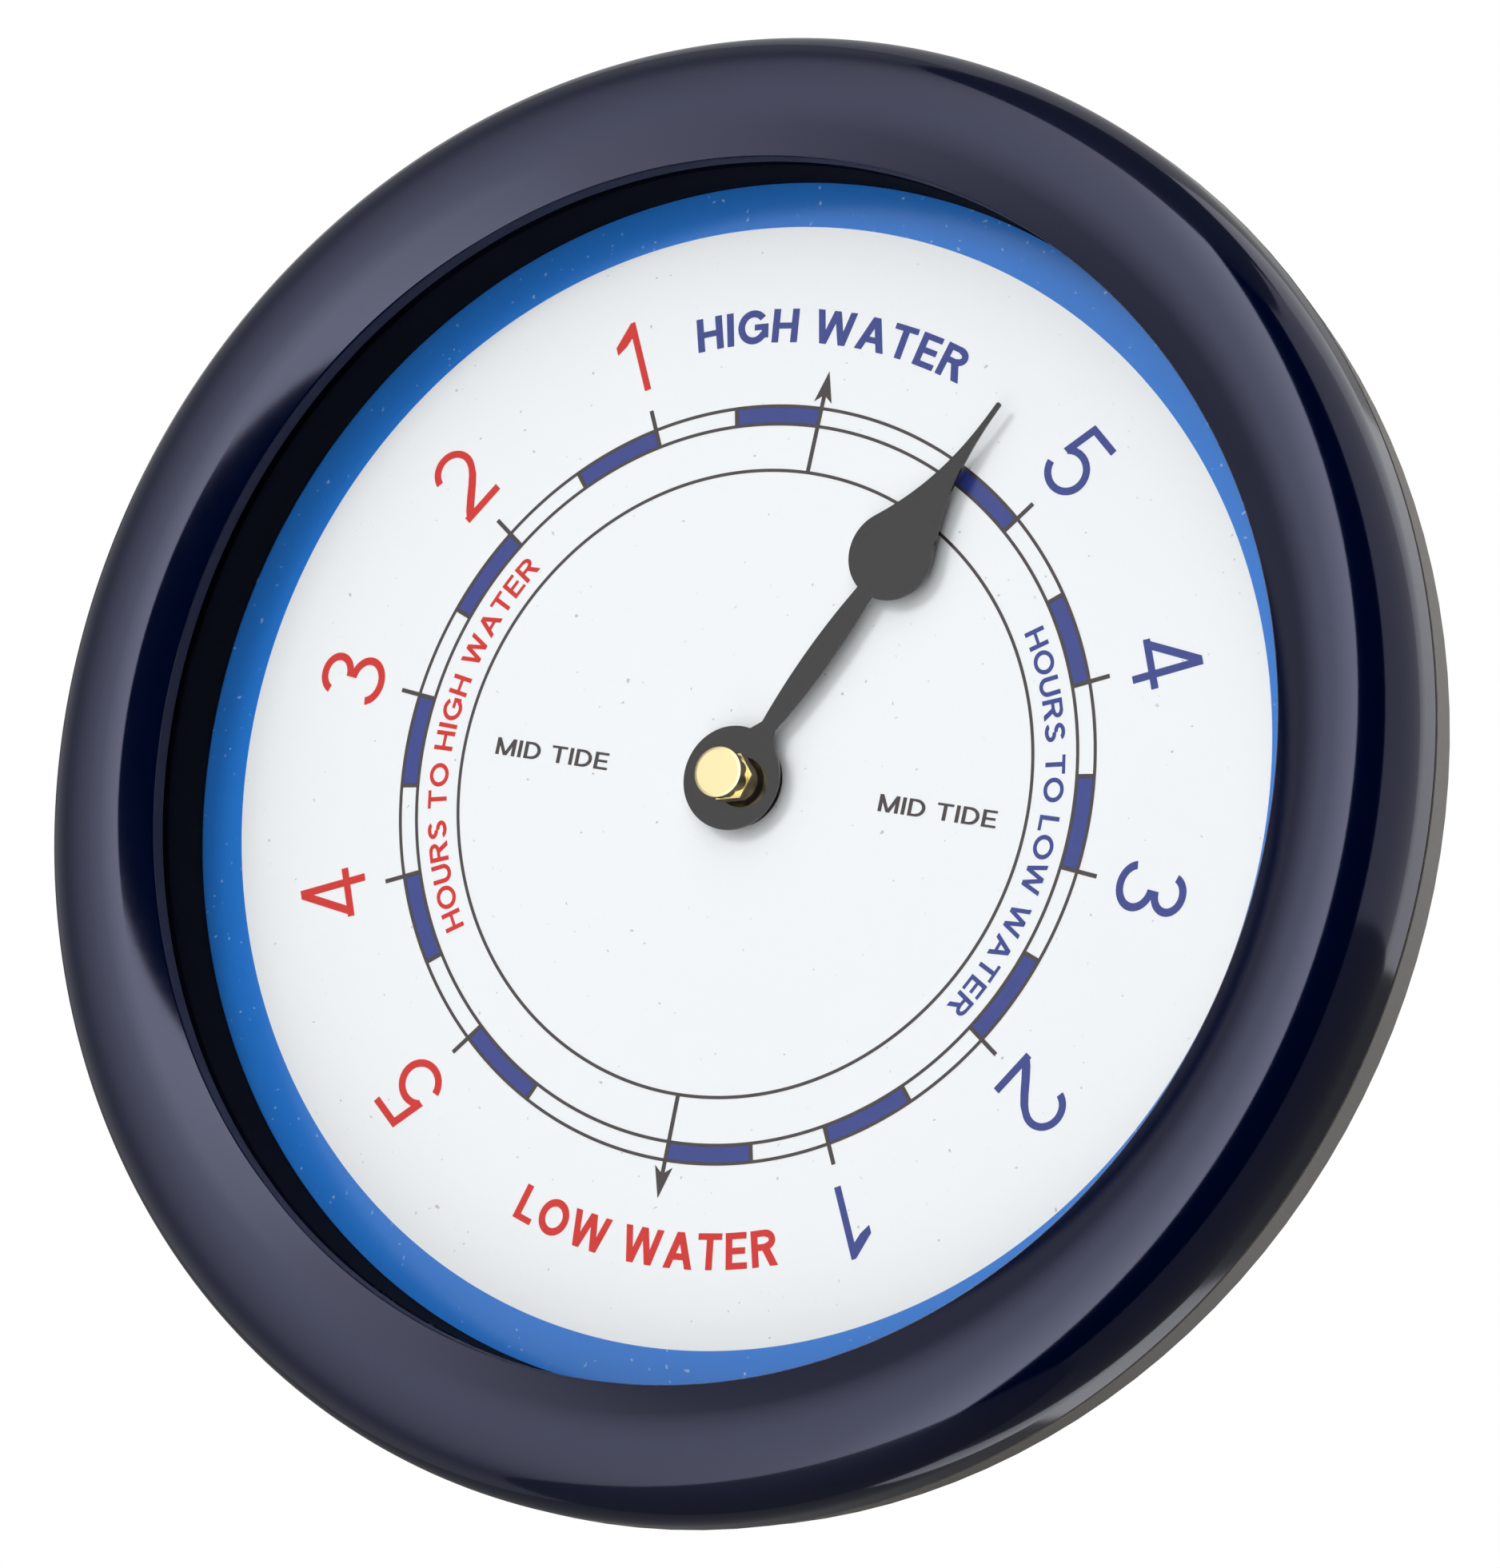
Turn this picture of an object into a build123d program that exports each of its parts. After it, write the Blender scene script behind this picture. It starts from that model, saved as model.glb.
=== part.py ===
from build123d import *
import math
import os
from collections import namedtuple

# A round wall tide clock: moulded case, printed dial, one tide hand and a battery movement.
# Millimetres. X is right, Z is up, Y runs into the wall and the dial looks along -Y.
# The origin is the middle of the back rim, and a depth is a distance in front of the wall.

# Shared fits
overrun = 1.0            # how far a cut runs past the face it opens
fit_gap = 0.1            # radial play of pieces that are slipped together and stay put
run_gap = 0.04           # radial play of a pivot or shaft in its bearing
end_gap = 0.1            # axial play of a turning piece

# Case
case_r = 120.65          # half of a 9.5 inch case
ring_w = 21.45           # bezel's width from its flank in to its lip
crest_share = 0.452      # highest ring's place across that width, from the lip
lip_land = 2.65          # straight wall of the lip above the lens
lip_dome = 5.55          # crest above the lip
flank_dome = 13.2        # crest above the shoulder where the flank rounds over
flank_h = 4.2            # straight flank from the shoulder to the seam
bezel_wall = 2.6
skirt_wall = 2.2         # inner skirt that holds the lens, spacer and dial
tongue_h = 2.4           # locating tongue of the back shell inside the bezel
tongue_wall = 1.4
groove_d = 0.5           # shadow groove at the seam
groove_h = 0.6

# Dial, spacer and lens stack
dial_depth = 22.0        # dial's face in front of the wall
dial_t = 1.5
dial_overlap = 3.0       # how far the stack reaches behind the lip
spacer_h = 11.4
lens_t = 2.0

# Back shell
shell_wall = 2.4
heel_inset = 1.35        # flank's taper from the seam to the heel
heel_drop = 9.4          # heel behind the seam
slope_w = 13.3           # back slope from the heel in to the rim on the wall
rim_w = 5.0
panel_recess = 2.0       # back panel set in from the rim
panel_t = 2.5
rib_w = 3.5              # ring that presses the dial forwards
rib_inset = 0.7
window_gap = 2.5         # room round the movement in the back panel
window_corner_r = 5.0

# Keyhole for the wall screw
keyhole_drop = 18.0      # entry hole below the inside of the dial rib
keyhole_r = 4.5
keyhole_slot_w = 4.5
keyhole_slot_l = 10.0

# Case screws
screw_count = 6
screw_first_bearing = 30.0
screw_inset = 9.25       # screws inside the flank
screw_r = 1.2
screw_grip = 8.0         # thread length inside the bezel's boss
screw_head_r = 2.8
screw_head_h = 2.0
screw_head_depth = 15.0  # seat of the head
screw_slot_w = 0.8
screw_slot_d = 0.9
pilot_spare = 2.0        # pilot hole beyond the screw's tip
bezel_boss_r = 3.4
shell_post_r = 4.6
counterbore_gap = 0.3

# Hand and its fixings
hand_bearing = 26.9      # degrees clockwise from the top of the dial
hand_rise = 2.8          # underside above the dial
hand_t = 0.6
hand_reach = 73.8
hand_boss_r = 8.5
arm_root_w = 2.6
arm_mid_w = 4.5
arm_neck_w = 3.2
bulb_reach = 43.6
bulb_r = 7.45
tip_r = 0.36
boss_fillet_r = 1.1
neck_fillet_r = 0.45
# Points of the taper from the bulb to the tip: share of the run, share of the bulb's radius
taper_shares = ((0.20, 0.585), (0.36, 0.345), (0.55, 0.165), (0.75, 0.075))
taper_start_angle = 52.0  # on the bulb, from the hand's axis
bushing_r = 2.4
nut_hex_w = 6.9          # cap nut across flats
nut_hex_h = 1.7
nut_neck_r = 3.25
nut_neck_h = 2.0
nut_cap_r = 4.0
nut_cap_h = 1.3
nut_cap_round = 0.45
nut_roof_t = 1.2

# Fixing of the movement to the dial
bush_r = 4.0
bush_flange_r = 5.5
bush_flange_t = 0.8
bush_tip_gap = 0.3       # below the hand
rubber_r = 9.0
rubber_t = 1.0
washer_r = 7.5
washer_t = 0.5
fix_nut_w = 11.0         # across flats
fix_nut_h = 1.9

# Movement case, a square box with the hand's shaft at its middle
case_h = 16.0
case_corner_r = 4.0
case_side_wall = 1.4
case_front_wall = 1.2
cover_t = 1.2
bay_wall = 1.2
bay_gap = 0.4            # room between the cell and the bay's wall
contact_way = 1.2        # gap at each end of the bay wall for the contacts
corner_post_r = 2.0
corner_post_inset = 4.2
case_screw_r = 0.75
case_screw_l = 5.0
case_screw_head_r = 1.6
case_screw_head_h = 0.9
bridge_post_r = 1.6
stator_post_r = 2.4
bridge_left = 16.0       # bridge posts from the hand's shaft
bridge_right = 19.6
bridge_low = 7.3
bridge_high = 18.0
stator_post_rise = 2.55  # post that also carries the stator, above the rotor
bridge_margin = 2.0
bridge_t = 1.2

# Gear train
Gear = namedtuple("Gear", "teeth module phase back front")
motion_module = 0.35
slow_module = 0.25
fast_module = 0.22
tide_teeth = 41
minute_pinion_teeth = 11
minute_teeth = 40
cannon_teeth = 12
centre_teeth = 64
third_pinion_teeth = 8
third_teeth = 60
fourth_pinion_teeth = 8
fourth_teeth = 50
inter_pinion_teeth = 10
inter_teeth = 48
rotor_pinion_teeth = 8
addendum_share = 0.9     # tooth height above the pitch circle, of the module
dedendum_share = 1.2     # tooth depth below the pitch circle, of the module
root_half_share = 0.55   # half tooth at its root, of half the tooth pitch
tip_half_share = 0.25    # half tooth at its tip, of half the tooth pitch
minute_bearing = 150.0   # bearings of the arbors, degrees anticlockwise from the right
third_bearing = 5.0
fourth_bearing = 60.0
inter_bearing = 165.0
rotor_bearing = 172.0
gear_w = 1.0
pinion_over = 0.15       # a pinion is this much wider than its wheel at each side
level_gap = 0.5
hub_gap = 0.9            # between the motion work and the centre wheel
clutch_room = 0.7        # between the centre wheel and the third wheel
arbor_r = 0.6
pivot_r = 0.4
pivot_l = 0.7
bridge_gap = 0.6
tide_arbor_r = 1.6
tide_tip_r = 1.25
tide_tip_spare = 0.2
centre_arbor_r = 1.0
centre_pivot_r = 0.6
centre_pivot_l = 1.9
clutch_r = 3.0
clutch_t = 0.25
collar_r = 1.9
collar_t = 0.3
cannon_hub_r = 1.6

# Motor
magnet_r = 2.8
magnet_bore_r = 0.9
magnet_h = 2.2
magnet_lift = 1.05       # magnet in front of the rotor's pinion
stator_gap = 0.5
stator_t = 0.8
stator_band = 1.0        # least metal round the rotor's hole
stator_reach = 21.4      # from the rotor to the far leg's outer edge
stator_leg_w = 3.0
stator_head = 2.0        # metal above the rotor's hole
coil_rise = 10.5         # coil's axis above the rotor
coil_r = 4.2
coil_flange_t = 0.8
coil_wall = 0.5
winding_inset = 0.5
core_w = 2.8
core_t = 0.8
coil_side_gap = 0.95     # between the coil and the movement's wall

# Electronics
board_w = 13.0
board_h = 10.0
board_t = 0.8
board_edge_gap = 1.6     # between the board and the rotor's axis
board_drop = 1.5         # board's lower edge below the rotor's axis
chip_r = 2.2
chip_h = 0.6
crystal_r = 0.75
crystal_l = 5.0
crystal_notch_gap = 0.2

# Cell and contacts
cell_r = 7.25
cell_l = 50.5
cell_nub_r = 2.75
cell_nub_l = 1.2
spring_room = 2.2        # for the sprung leaf behind the cell's flat end
contact_t = 0.5
contact_w = 10.0
contact_leg = 5.0        # leg above the bay wall
contact_inset = 2.8      # contact strip inside the cell's outline
leaf_fold = 0.8          # pad of the sprung leaf against the cell

# Setting knob
knob_r = 8.0
knob_t = 2.2
knob_gap = 0.3           # between the knob and the movement's cover
knob_ridges = 36
knob_ridge_d = 0.4
knob_round = 0.3

# Depths and radii worked out from the sizes above
window_r = case_r - ring_w
crest_r = window_r + crest_share * ring_w
spacer_front = dial_depth + spacer_h
lens_front = spacer_front + lens_t
lip_depth = lens_front + lip_land
crest_depth = lip_depth + lip_dome
shoulder_depth = crest_depth - flank_dome
seam_depth = shoulder_depth - flank_h
dial_back = dial_depth - dial_t
heel_r = case_r - heel_inset
heel_depth = seam_depth - heel_drop
rim_r = heel_r - slope_w
screw_pitch_r = case_r - screw_inset
stack_r = window_r + dial_overlap
skirt_in_r = stack_r + fit_gap
skirt_out_r = skirt_in_r + skirt_wall
panel_front = panel_recess + panel_t
rib_out_r = stack_r - rib_inset
rib_in_r = rib_out_r - rib_w
keyhole_height = rib_in_r - keyhole_drop
hand_back = dial_depth + hand_rise
hand_front = hand_back + hand_t
nut_front = hand_front + nut_hex_h + nut_neck_h + nut_cap_h
movement_front = dial_back - rubber_t
movement_back = movement_front - case_h
train_front = movement_front - case_front_wall
cover_front = movement_back + cover_t
bush_tip = hand_back - bush_tip_gap
cell_depth = train_front - end_gap - cell_r

# Levels of the train, from the dial backwards
tide_front = train_front - bush_flange_t - 2 * end_gap
tide_back = tide_front - gear_w
minute_front = tide_back - level_gap
minute_back = minute_front - gear_w
centre_front = minute_back - hub_gap
centre_back = centre_front - gear_w
third_front = centre_back - clutch_room
third_back = third_front - gear_w
fourth_front = third_back - level_gap
fourth_back = fourth_front - gear_w
inter_front = fourth_back - level_gap
inter_back = inter_front - gear_w
bridge_front = inter_back - bridge_gap
bridge_back = bridge_front - bridge_t


def step_from(place, distance, bearing):
    """The place at a distance and bearing from another, both in the dial's plane."""
    angle = math.radians(bearing)
    return (place[0] + distance * math.cos(angle), place[1] + distance * math.sin(angle))


def centres(module, teeth, mate_teeth):
    """Distance between the arbors of two meshed gears."""
    return module * (teeth + mate_teeth) / 2


centre_at = (0, 0)
minute_at = step_from(centre_at, centres(motion_module, tide_teeth, minute_pinion_teeth), minute_bearing)
third_at = step_from(centre_at, centres(slow_module, centre_teeth, third_pinion_teeth), third_bearing)
fourth_at = step_from(third_at, centres(slow_module, third_teeth, fourth_pinion_teeth), fourth_bearing)
inter_at = step_from(fourth_at, centres(slow_module, fourth_teeth, inter_pinion_teeth), inter_bearing)
rotor_at = step_from(inter_at, centres(fast_module, inter_teeth, rotor_pinion_teeth), rotor_bearing)

magnet_back = inter_front + magnet_lift + pinion_over
magnet_front = magnet_back + magnet_h
stator_back = magnet_back + (magnet_h - stator_t) / 2
stator_front = stator_back + stator_t
stator_hole_r = magnet_r + stator_gap
core_back = stator_front
core_front = core_back + core_t
coil_z = rotor_at[1] + coil_rise
coil_depth = core_back + core_t / 2
bridge_posts = [
    (-bridge_left, rotor_at[1] + stator_post_rise),
    (-bridge_left, -bridge_low),
    (bridge_right, -bridge_low),
    (bridge_right, bridge_high),
]

# The movement's box holds the cell and its contacts across, and the coil at its top
inner_half = max((cell_l + contact_t + spring_room) / 2, coil_z + coil_r + coil_side_gap)
half_size = inner_half + case_side_wall
case_size = 2 * half_size
cell_z = cell_r + bay_gap / 2 - inner_half
bay_top = cell_z + cell_r + bay_gap
cell_tip_x = inner_half - contact_t
corner_place = half_size - corner_post_inset
corner_posts = [
    (side * corner_place, height)
    for height in (corner_place, bay_top + bay_wall / 2 + corner_post_r)
    for side in (-1, 1)
]
pivot_holes = [minute_at, third_at, fourth_at, inter_at, rotor_at]


def slab(sketch, back, front):
    """A sketch seen from the front, thickened between two depths."""
    return extrude(Pos(0, -back, 0) * (Plane.XZ * sketch), amount=front - back, dir=(0, -1, 0))


def rod(place, radius, back, front):
    """A round bar square to the dial."""
    return slab(Pos(*place) * Circle(radius), back, front)


def hexagon(width):
    """A hexagon of a width across its flats."""
    return RegularPolygon(radius=width / math.sqrt(3), side_count=6)


def turned(*points):
    """A ring turned about the clock's axis from straight runs of (radius, depth)."""
    return revolve(Polygon(*[(r, -d) for r, d in points], align=None), axis=Axis.Y)


def filled(*curves):
    """The face inside curves that join end to end."""
    return make_face([edge for curve in curves for edge in curve.edges()])


def screw_places():
    """Places of the case screws round the bezel."""
    step = 360 / screw_count
    return [step_from(centre_at, screw_pitch_r, screw_first_bearing + step * k) for k in range(screw_count)]


def gear_outline(teeth, module, phase):
    """A clock gear with straight sided teeth, a tooth lying on the phase bearing."""
    pitch_r = module * teeth / 2
    root_r = pitch_r - dedendum_share * module
    tip_radius = pitch_r + addendum_share * module
    half_pitch = math.pi / teeth
    corners = (
        (root_r, -root_half_share),
        (tip_radius, -tip_half_share),
        (tip_radius, tip_half_share),
        (root_r, root_half_share),
    )
    points = []
    for k in range(teeth):
        middle = math.radians(phase) + 2 * half_pitch * k
        for radius, share in corners:
            angle = middle + share * half_pitch
            points.append((radius * math.cos(angle), radius * math.sin(angle)))
    return Polygon(*points, align=None)


def gear(place, spec):
    """One gear at its place and level."""
    outline = gear_outline(spec.teeth, spec.module, spec.phase)
    return slab(Pos(*place) * outline, spec.back, spec.front)


def wheel_on(teeth, module, bearing, back, front):
    """A wheel with a gap on the bearing of its pinion."""
    return Gear(teeth, module, bearing + 180 / teeth, back, front)


def pinion_on(teeth, module, bearing, back, front):
    """A pinion with a tooth on the bearing of its wheel, a little wider than the wheel."""
    return Gear(teeth, module, bearing, back - pinion_over, front + pinion_over)


def mobile(place, wheel, pinion):
    """A moulded wheel and pinion on one arbor, pivoted in the case front and the bridge."""
    arbor = rod(place, arbor_r, bridge_front + end_gap, train_front - end_gap)
    pivots = rod(place, pivot_r, bridge_front - pivot_l, train_front + pivot_l)
    return gear(place, wheel) + gear(place, pinion) + arbor + pivots


def bezel():
    """Domed front ring with its lip, inner skirt, hollow back and screw bosses."""
    inner_w = crest_r - window_r
    outer_w = case_r - crest_r
    roof_w = crest_r - skirt_out_r
    crest = (crest_r, -shoulder_depth)
    lip_centre = (crest_r, -lip_depth)
    wall_in = case_r - bezel_wall
    outline = [
        Line((window_r, -lens_front), (window_r, -lip_depth)),
        Bezier((window_r, -lip_depth), (crest_r - inner_w / 2, -crest_depth), (crest_r, -crest_depth)),
        EllipticalCenterArc(crest, outer_w, flank_dome, 270, arc_size=90),
        Polyline((case_r, -shoulder_depth), (case_r, -seam_depth), (wall_in, -seam_depth), (wall_in, -shoulder_depth)),
        EllipticalCenterArc(crest, outer_w - bezel_wall, flank_dome - bezel_wall, 270, arc_size=90),
        EllipticalCenterArc(lip_centre, roof_w, lip_dome - bezel_wall, 180, arc_size=90),
        Polyline(
            (skirt_out_r, -lip_depth),
            (skirt_out_r, -dial_back),
            (skirt_in_r, -dial_back),
            (skirt_in_r, -lens_front),
            (window_r, -lens_front),
        ),
    ]
    ring = revolve(filled(*outline), axis=Axis.Y)
    boss_top = crest_depth - bezel_wall
    pilot_top = seam_depth + screw_grip + pilot_spare
    for place in screw_places():
        ring += rod(place, bezel_boss_r, seam_depth, boss_top)
    for place in screw_places():
        ring -= rod(place, screw_r, seam_depth - overrun, pilot_top)
    return ring


def lens():
    """Flat clear window behind the bezel's lip."""
    return rod(centre_at, stack_r, spacer_front, lens_front)


def spacer_ring():
    """Black ring that stands between the dial and the lens."""
    return rod(centre_at, stack_r, dial_depth, spacer_front) - rod(
        centre_at, window_r, dial_depth - overrun, spacer_front + overrun
    )


def dial():
    """Printed plate with a hole for the movement's bush."""
    return rod(centre_at, stack_r, dial_back, dial_depth) - rod(
        centre_at, bush_r + fit_gap, dial_back - overrun, dial_depth + overrun
    )


def back_shell():
    """Back moulding: flank, sloped back, wall rim, panel, dial rib and screw posts."""
    lean = math.atan2(heel_r - rim_r, heel_depth)
    slope_wall = shell_wall / math.cos(lean)
    panel_r = rim_r + panel_front * math.tan(lean) - slope_wall
    flank_in = case_r - shell_wall
    heel_in = heel_r - shell_wall
    heel_in_depth = heel_depth + shell_wall * math.tan(lean / 2)
    tongue_out = case_r - bezel_wall - fit_gap
    groove_r = case_r - groove_d
    rim_in = rim_r - rim_w
    outer = [
        (0, panel_recess),
        (rim_in, panel_recess),
        (rim_in, 0),
        (rim_r, 0),
        (heel_r, heel_depth),
        (case_r, seam_depth - groove_h),
        (groove_r, seam_depth - groove_h),
        (groove_r, seam_depth),
    ]
    envelope = turned(*outer, (0, seam_depth))
    cavity = turned(
        (0, panel_front),
        (panel_r, panel_front),
        (heel_in, heel_in_depth),
        (flank_in, seam_depth),
        (flank_in, seam_depth + overrun),
        (0, seam_depth + overrun),
    )
    tongue = turned(
        (tongue_out, seam_depth + tongue_h),
        (tongue_out - tongue_wall, seam_depth + tongue_h),
        (tongue_out - tongue_wall, heel_in_depth),
        (tongue_out, heel_in_depth),
    )
    rib = rod(centre_at, rib_out_r, panel_recess, dial_back) - rod(centre_at, rib_in_r, 0, seam_depth)
    posts = Sketch() + [Pos(*place) * Circle(shell_post_r) for place in screw_places()]
    shell = envelope - cavity + tongue + rib + (slab(posts, 0, seam_depth) & envelope)
    opening = RectangleRounded(case_size + 2 * window_gap, case_size + 2 * window_gap, window_corner_r)
    shell -= slab(opening, -overrun, panel_front + overrun)
    slot = Pos(0, keyhole_height + keyhole_slot_l / 2) * Rectangle(keyhole_slot_w, keyhole_slot_l)
    slot_end = Pos(0, keyhole_height + keyhole_slot_l) * Circle(keyhole_slot_w / 2)
    keyhole = Pos(0, keyhole_height) * Circle(keyhole_r) + slot + slot_end
    shell -= slab(keyhole, -overrun, panel_front + overrun)
    for place in screw_places():
        shell -= rod(place, screw_head_r + counterbore_gap, -overrun, screw_head_depth)
        shell -= rod(place, screw_r + counterbore_gap, 0, seam_depth + overrun)
    return shell


def case_screws():
    """Slotted self tapping screws that hold the back shell to the bezel."""
    screws = []
    head_back = screw_head_depth - screw_head_h
    for place in screw_places():
        head = rod(place, screw_head_r, head_back, screw_head_depth)
        slot = slab(
            Pos(*place) * Rectangle(2 * screw_head_r, screw_slot_w), head_back - overrun, head_back + screw_slot_d
        )
        screws.append(head - slot + rod(place, screw_r, screw_head_depth, seam_depth + screw_grip))
    return Compound(children=screws)


def hand_outline():
    """The spade hand lying along +X, boss at the origin."""
    start = math.radians(taper_start_angle)
    shoulder = (bulb_reach + bulb_r * math.cos(start), bulb_r * math.sin(start))
    tip_middle = hand_reach - tip_r
    run = tip_middle - shoulder[0]
    upper = [shoulder]
    upper += [(shoulder[0] + run * u, bulb_r * v) for u, v in taper_shares]
    upper.append((tip_middle, tip_r))
    leave = (math.sin(start), -math.cos(start))
    top = Spline(*upper, tangents=[leave, (1, 0)])
    bottom = mirror(top, Plane.XZ)
    tip = CenterArc((tip_middle, 0), tip_r, -90, 180)
    base = Polyline((shoulder[0], -shoulder[1]), (bulb_reach, 0), shoulder)
    taper = filled(top, tip, bottom, base)
    arm_end = bulb_reach - bulb_r
    side = ThreePointArc((0, arm_root_w / 2), (arm_end * 2 / 3, arm_mid_w / 2), (bulb_reach, arm_neck_w / 2))
    other = mirror(side, Plane.XZ)
    root = Line((0, arm_root_w / 2), (0, -arm_root_w / 2))
    neck = Line((bulb_reach, arm_neck_w / 2), (bulb_reach, -arm_neck_w / 2))
    arm = filled(side, neck, other, root)
    outline = Circle(hand_boss_r) + arm + Pos(bulb_reach, 0) * Circle(bulb_r) + taper
    middle = bulb_reach / 2
    boss_corners = [v for v in outline.vertices() if 0 < v.X < middle]
    outline = fillet(boss_corners, boss_fillet_r)
    neck_corners = [v for v in outline.vertices() if middle < v.X < bulb_reach]
    return fillet(neck_corners, neck_fillet_r)


def tide_hand():
    """Stamped hand, pressed on its bushing."""
    outline = Rot(0, 0, 90 - hand_bearing) * hand_outline()
    return slab(outline, hand_back, hand_front) - rod(centre_at, bushing_r, hand_back - overrun, hand_front + overrun)


def hand_bushing():
    """Brass collet between the hand and the tide arbor."""
    return rod(centre_at, bushing_r, hand_back, hand_front) - rod(
        centre_at, tide_tip_r, hand_back - overrun, hand_front + overrun
    )


def cap_nut():
    """Closed brass nut: hexagon, neck and round polished cap."""
    neck_back = hand_front + nut_hex_h
    cap_back = neck_back + nut_neck_h
    cap = rod(centre_at, nut_cap_r, cap_back, nut_front)
    cap = fillet(cap.edges().filter_by(GeomType.CIRCLE), nut_cap_round)
    body = slab(hexagon(nut_hex_w), hand_front, neck_back) + rod(centre_at, nut_neck_r, neck_back, cap_back) + cap
    return body - rod(centre_at, tide_tip_r, hand_front - overrun, nut_front - nut_roof_t)


def threaded_bush():
    """Brass bush that fixes the movement to the dial and carries the tide arbor."""
    bush = rod(centre_at, bush_flange_r, train_front - bush_flange_t, train_front)
    bush += rod(centre_at, bush_r, train_front, bush_tip)
    return bush - rod(centre_at, tide_arbor_r + run_gap, train_front - bush_flange_t - overrun, bush_tip + overrun)


def rubber_washer():
    """Soft washer between the movement and the dial's back."""
    return rod(centre_at, rubber_r, movement_front, dial_back) - rod(
        centre_at, bush_r + fit_gap, movement_front - overrun, dial_back + overrun
    )


def brass_washer():
    """Flat washer on the dial's face."""
    return rod(centre_at, washer_r, dial_depth, dial_depth + washer_t) - rod(
        centre_at, bush_r + fit_gap, dial_depth - overrun, dial_depth + washer_t + overrun
    )


def fixing_nut():
    """Thin hexagon nut that clamps the dial."""
    back = dial_depth + washer_t
    return slab(hexagon(fix_nut_w), back, back + fix_nut_h) - rod(
        centre_at, bush_r + run_gap, back - overrun, back + fix_nut_h + overrun
    )


def movement_case():
    """Front half of the movement's box, with the cell bay, posts and front pivot holes."""
    box = slab(RectangleRounded(case_size, case_size, case_corner_r), movement_back, movement_front)
    room = RectangleRounded(2 * inner_half, 2 * inner_half, case_corner_r - case_side_wall)
    box -= slab(room, movement_back - overrun, train_front)
    wall_l = 2 * (inner_half - contact_way)
    wall = Pos(0, bay_top + bay_wall / 2) * Rectangle(wall_l, bay_wall)
    box += slab(wall, cover_front, train_front)
    for place in corner_posts:
        post = rod(place, corner_post_r, cover_front, train_front)
        box += post - rod(place, case_screw_r, cover_front - overrun, cover_front + case_screw_l)
    for place in bridge_posts:
        box += rod(place, bridge_post_r, bridge_front, train_front)
    box += rod(bridge_posts[0], stator_post_r, stator_front, train_front)
    for place in pivot_holes:
        box -= rod(place, pivot_r + run_gap, train_front - overrun, train_front + pivot_l + end_gap)
    return box - rod(centre_at, bush_r + fit_gap, train_front - overrun, movement_front + overrun)


def movement_cover():
    """Rear lid over the train, open below for the cell."""
    top = inner_half - fit_gap
    height = top - bay_top
    plate = Pos(0, bay_top + height / 2) * RectangleRounded(2 * top, height, case_corner_r - case_side_wall)
    lid = slab(plate, movement_back, cover_front)
    for place in corner_posts:
        lid -= rod(place, case_screw_r + fit_gap, movement_back - overrun, cover_front + overrun)
    return lid - rod(centre_at, centre_arbor_r + fit_gap, movement_back - overrun, cover_front + overrun)


def movement_screws():
    """Small slotted screws that hold the lid."""
    screws = []
    head_back = movement_back - case_screw_head_h
    slot_d = case_screw_head_h / 2
    for place in corner_posts:
        head = rod(place, case_screw_head_r, head_back, movement_back)
        slot = Pos(*place) * Rectangle(2 * case_screw_head_r, screw_slot_w / 2)
        head -= slab(slot, head_back - overrun, head_back + slot_d)
        screws.append(head + rod(place, case_screw_r, movement_back, cover_front + case_screw_l - end_gap))
    return Compound(children=screws)


def train_bridge():
    """Plate on four posts that carries the rear pivots."""
    xs = [x for x, z in bridge_posts]
    zs = [z for x, z in bridge_posts]
    width = max(xs) - min(xs) + 2 * bridge_margin
    height = max(zs) - min(zs) + 2 * bridge_margin
    middle = ((max(xs) + min(xs)) / 2, (max(zs) + min(zs)) / 2)
    plate = slab(Pos(*middle) * RectangleRounded(width, height, bridge_margin), bridge_back, bridge_front)
    for place in pivot_holes:
        plate -= rod(place, pivot_r + run_gap, bridge_back - overrun, bridge_front + overrun)
    return plate - rod(centre_at, centre_arbor_r + run_gap, bridge_back - overrun, bridge_front + overrun)


def tide_arbor():
    """Output shaft from the tide wheel through the bush to the hand and cap nut."""
    shaft = rod(centre_at, tide_arbor_r, tide_back, hand_back)
    shaft += rod(centre_at, tide_tip_r, hand_back, nut_front - nut_roof_t - tide_tip_spare)
    socket_top = tide_back + centre_pivot_l + end_gap
    return shaft - rod(centre_at, centre_pivot_r + run_gap, tide_back - overrun, socket_top)


def tide_wheel():
    """Last wheel of the motion work, pressed on the tide arbor."""
    spec = wheel_on(tide_teeth, motion_module, minute_bearing, tide_back, tide_front)
    return gear(centre_at, spec) - rod(centre_at, tide_arbor_r, tide_back - overrun, tide_front + overrun)


def minute_wheel():
    """Reduction wheel between the cannon pinion and the tide wheel."""
    back_bearing = minute_bearing + 180
    wheel = wheel_on(minute_teeth, motion_module, back_bearing, minute_back, minute_front)
    pinion = pinion_on(minute_pinion_teeth, motion_module, back_bearing, tide_back, tide_front)
    return mobile(minute_at, wheel, pinion)


def centre_arbor():
    """Setting shaft with its clutch collar, from the tide arbor's socket to the knob."""
    knob_back = movement_back - knob_gap - knob_t
    shaft = rod(centre_at, centre_arbor_r, knob_back, tide_back - end_gap)
    shaft += rod(centre_at, centre_pivot_r, tide_back - end_gap, tide_back + centre_pivot_l)
    collar_front = centre_back - clutch_t
    return shaft + rod(centre_at, collar_r, collar_front - collar_t, collar_front)


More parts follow.
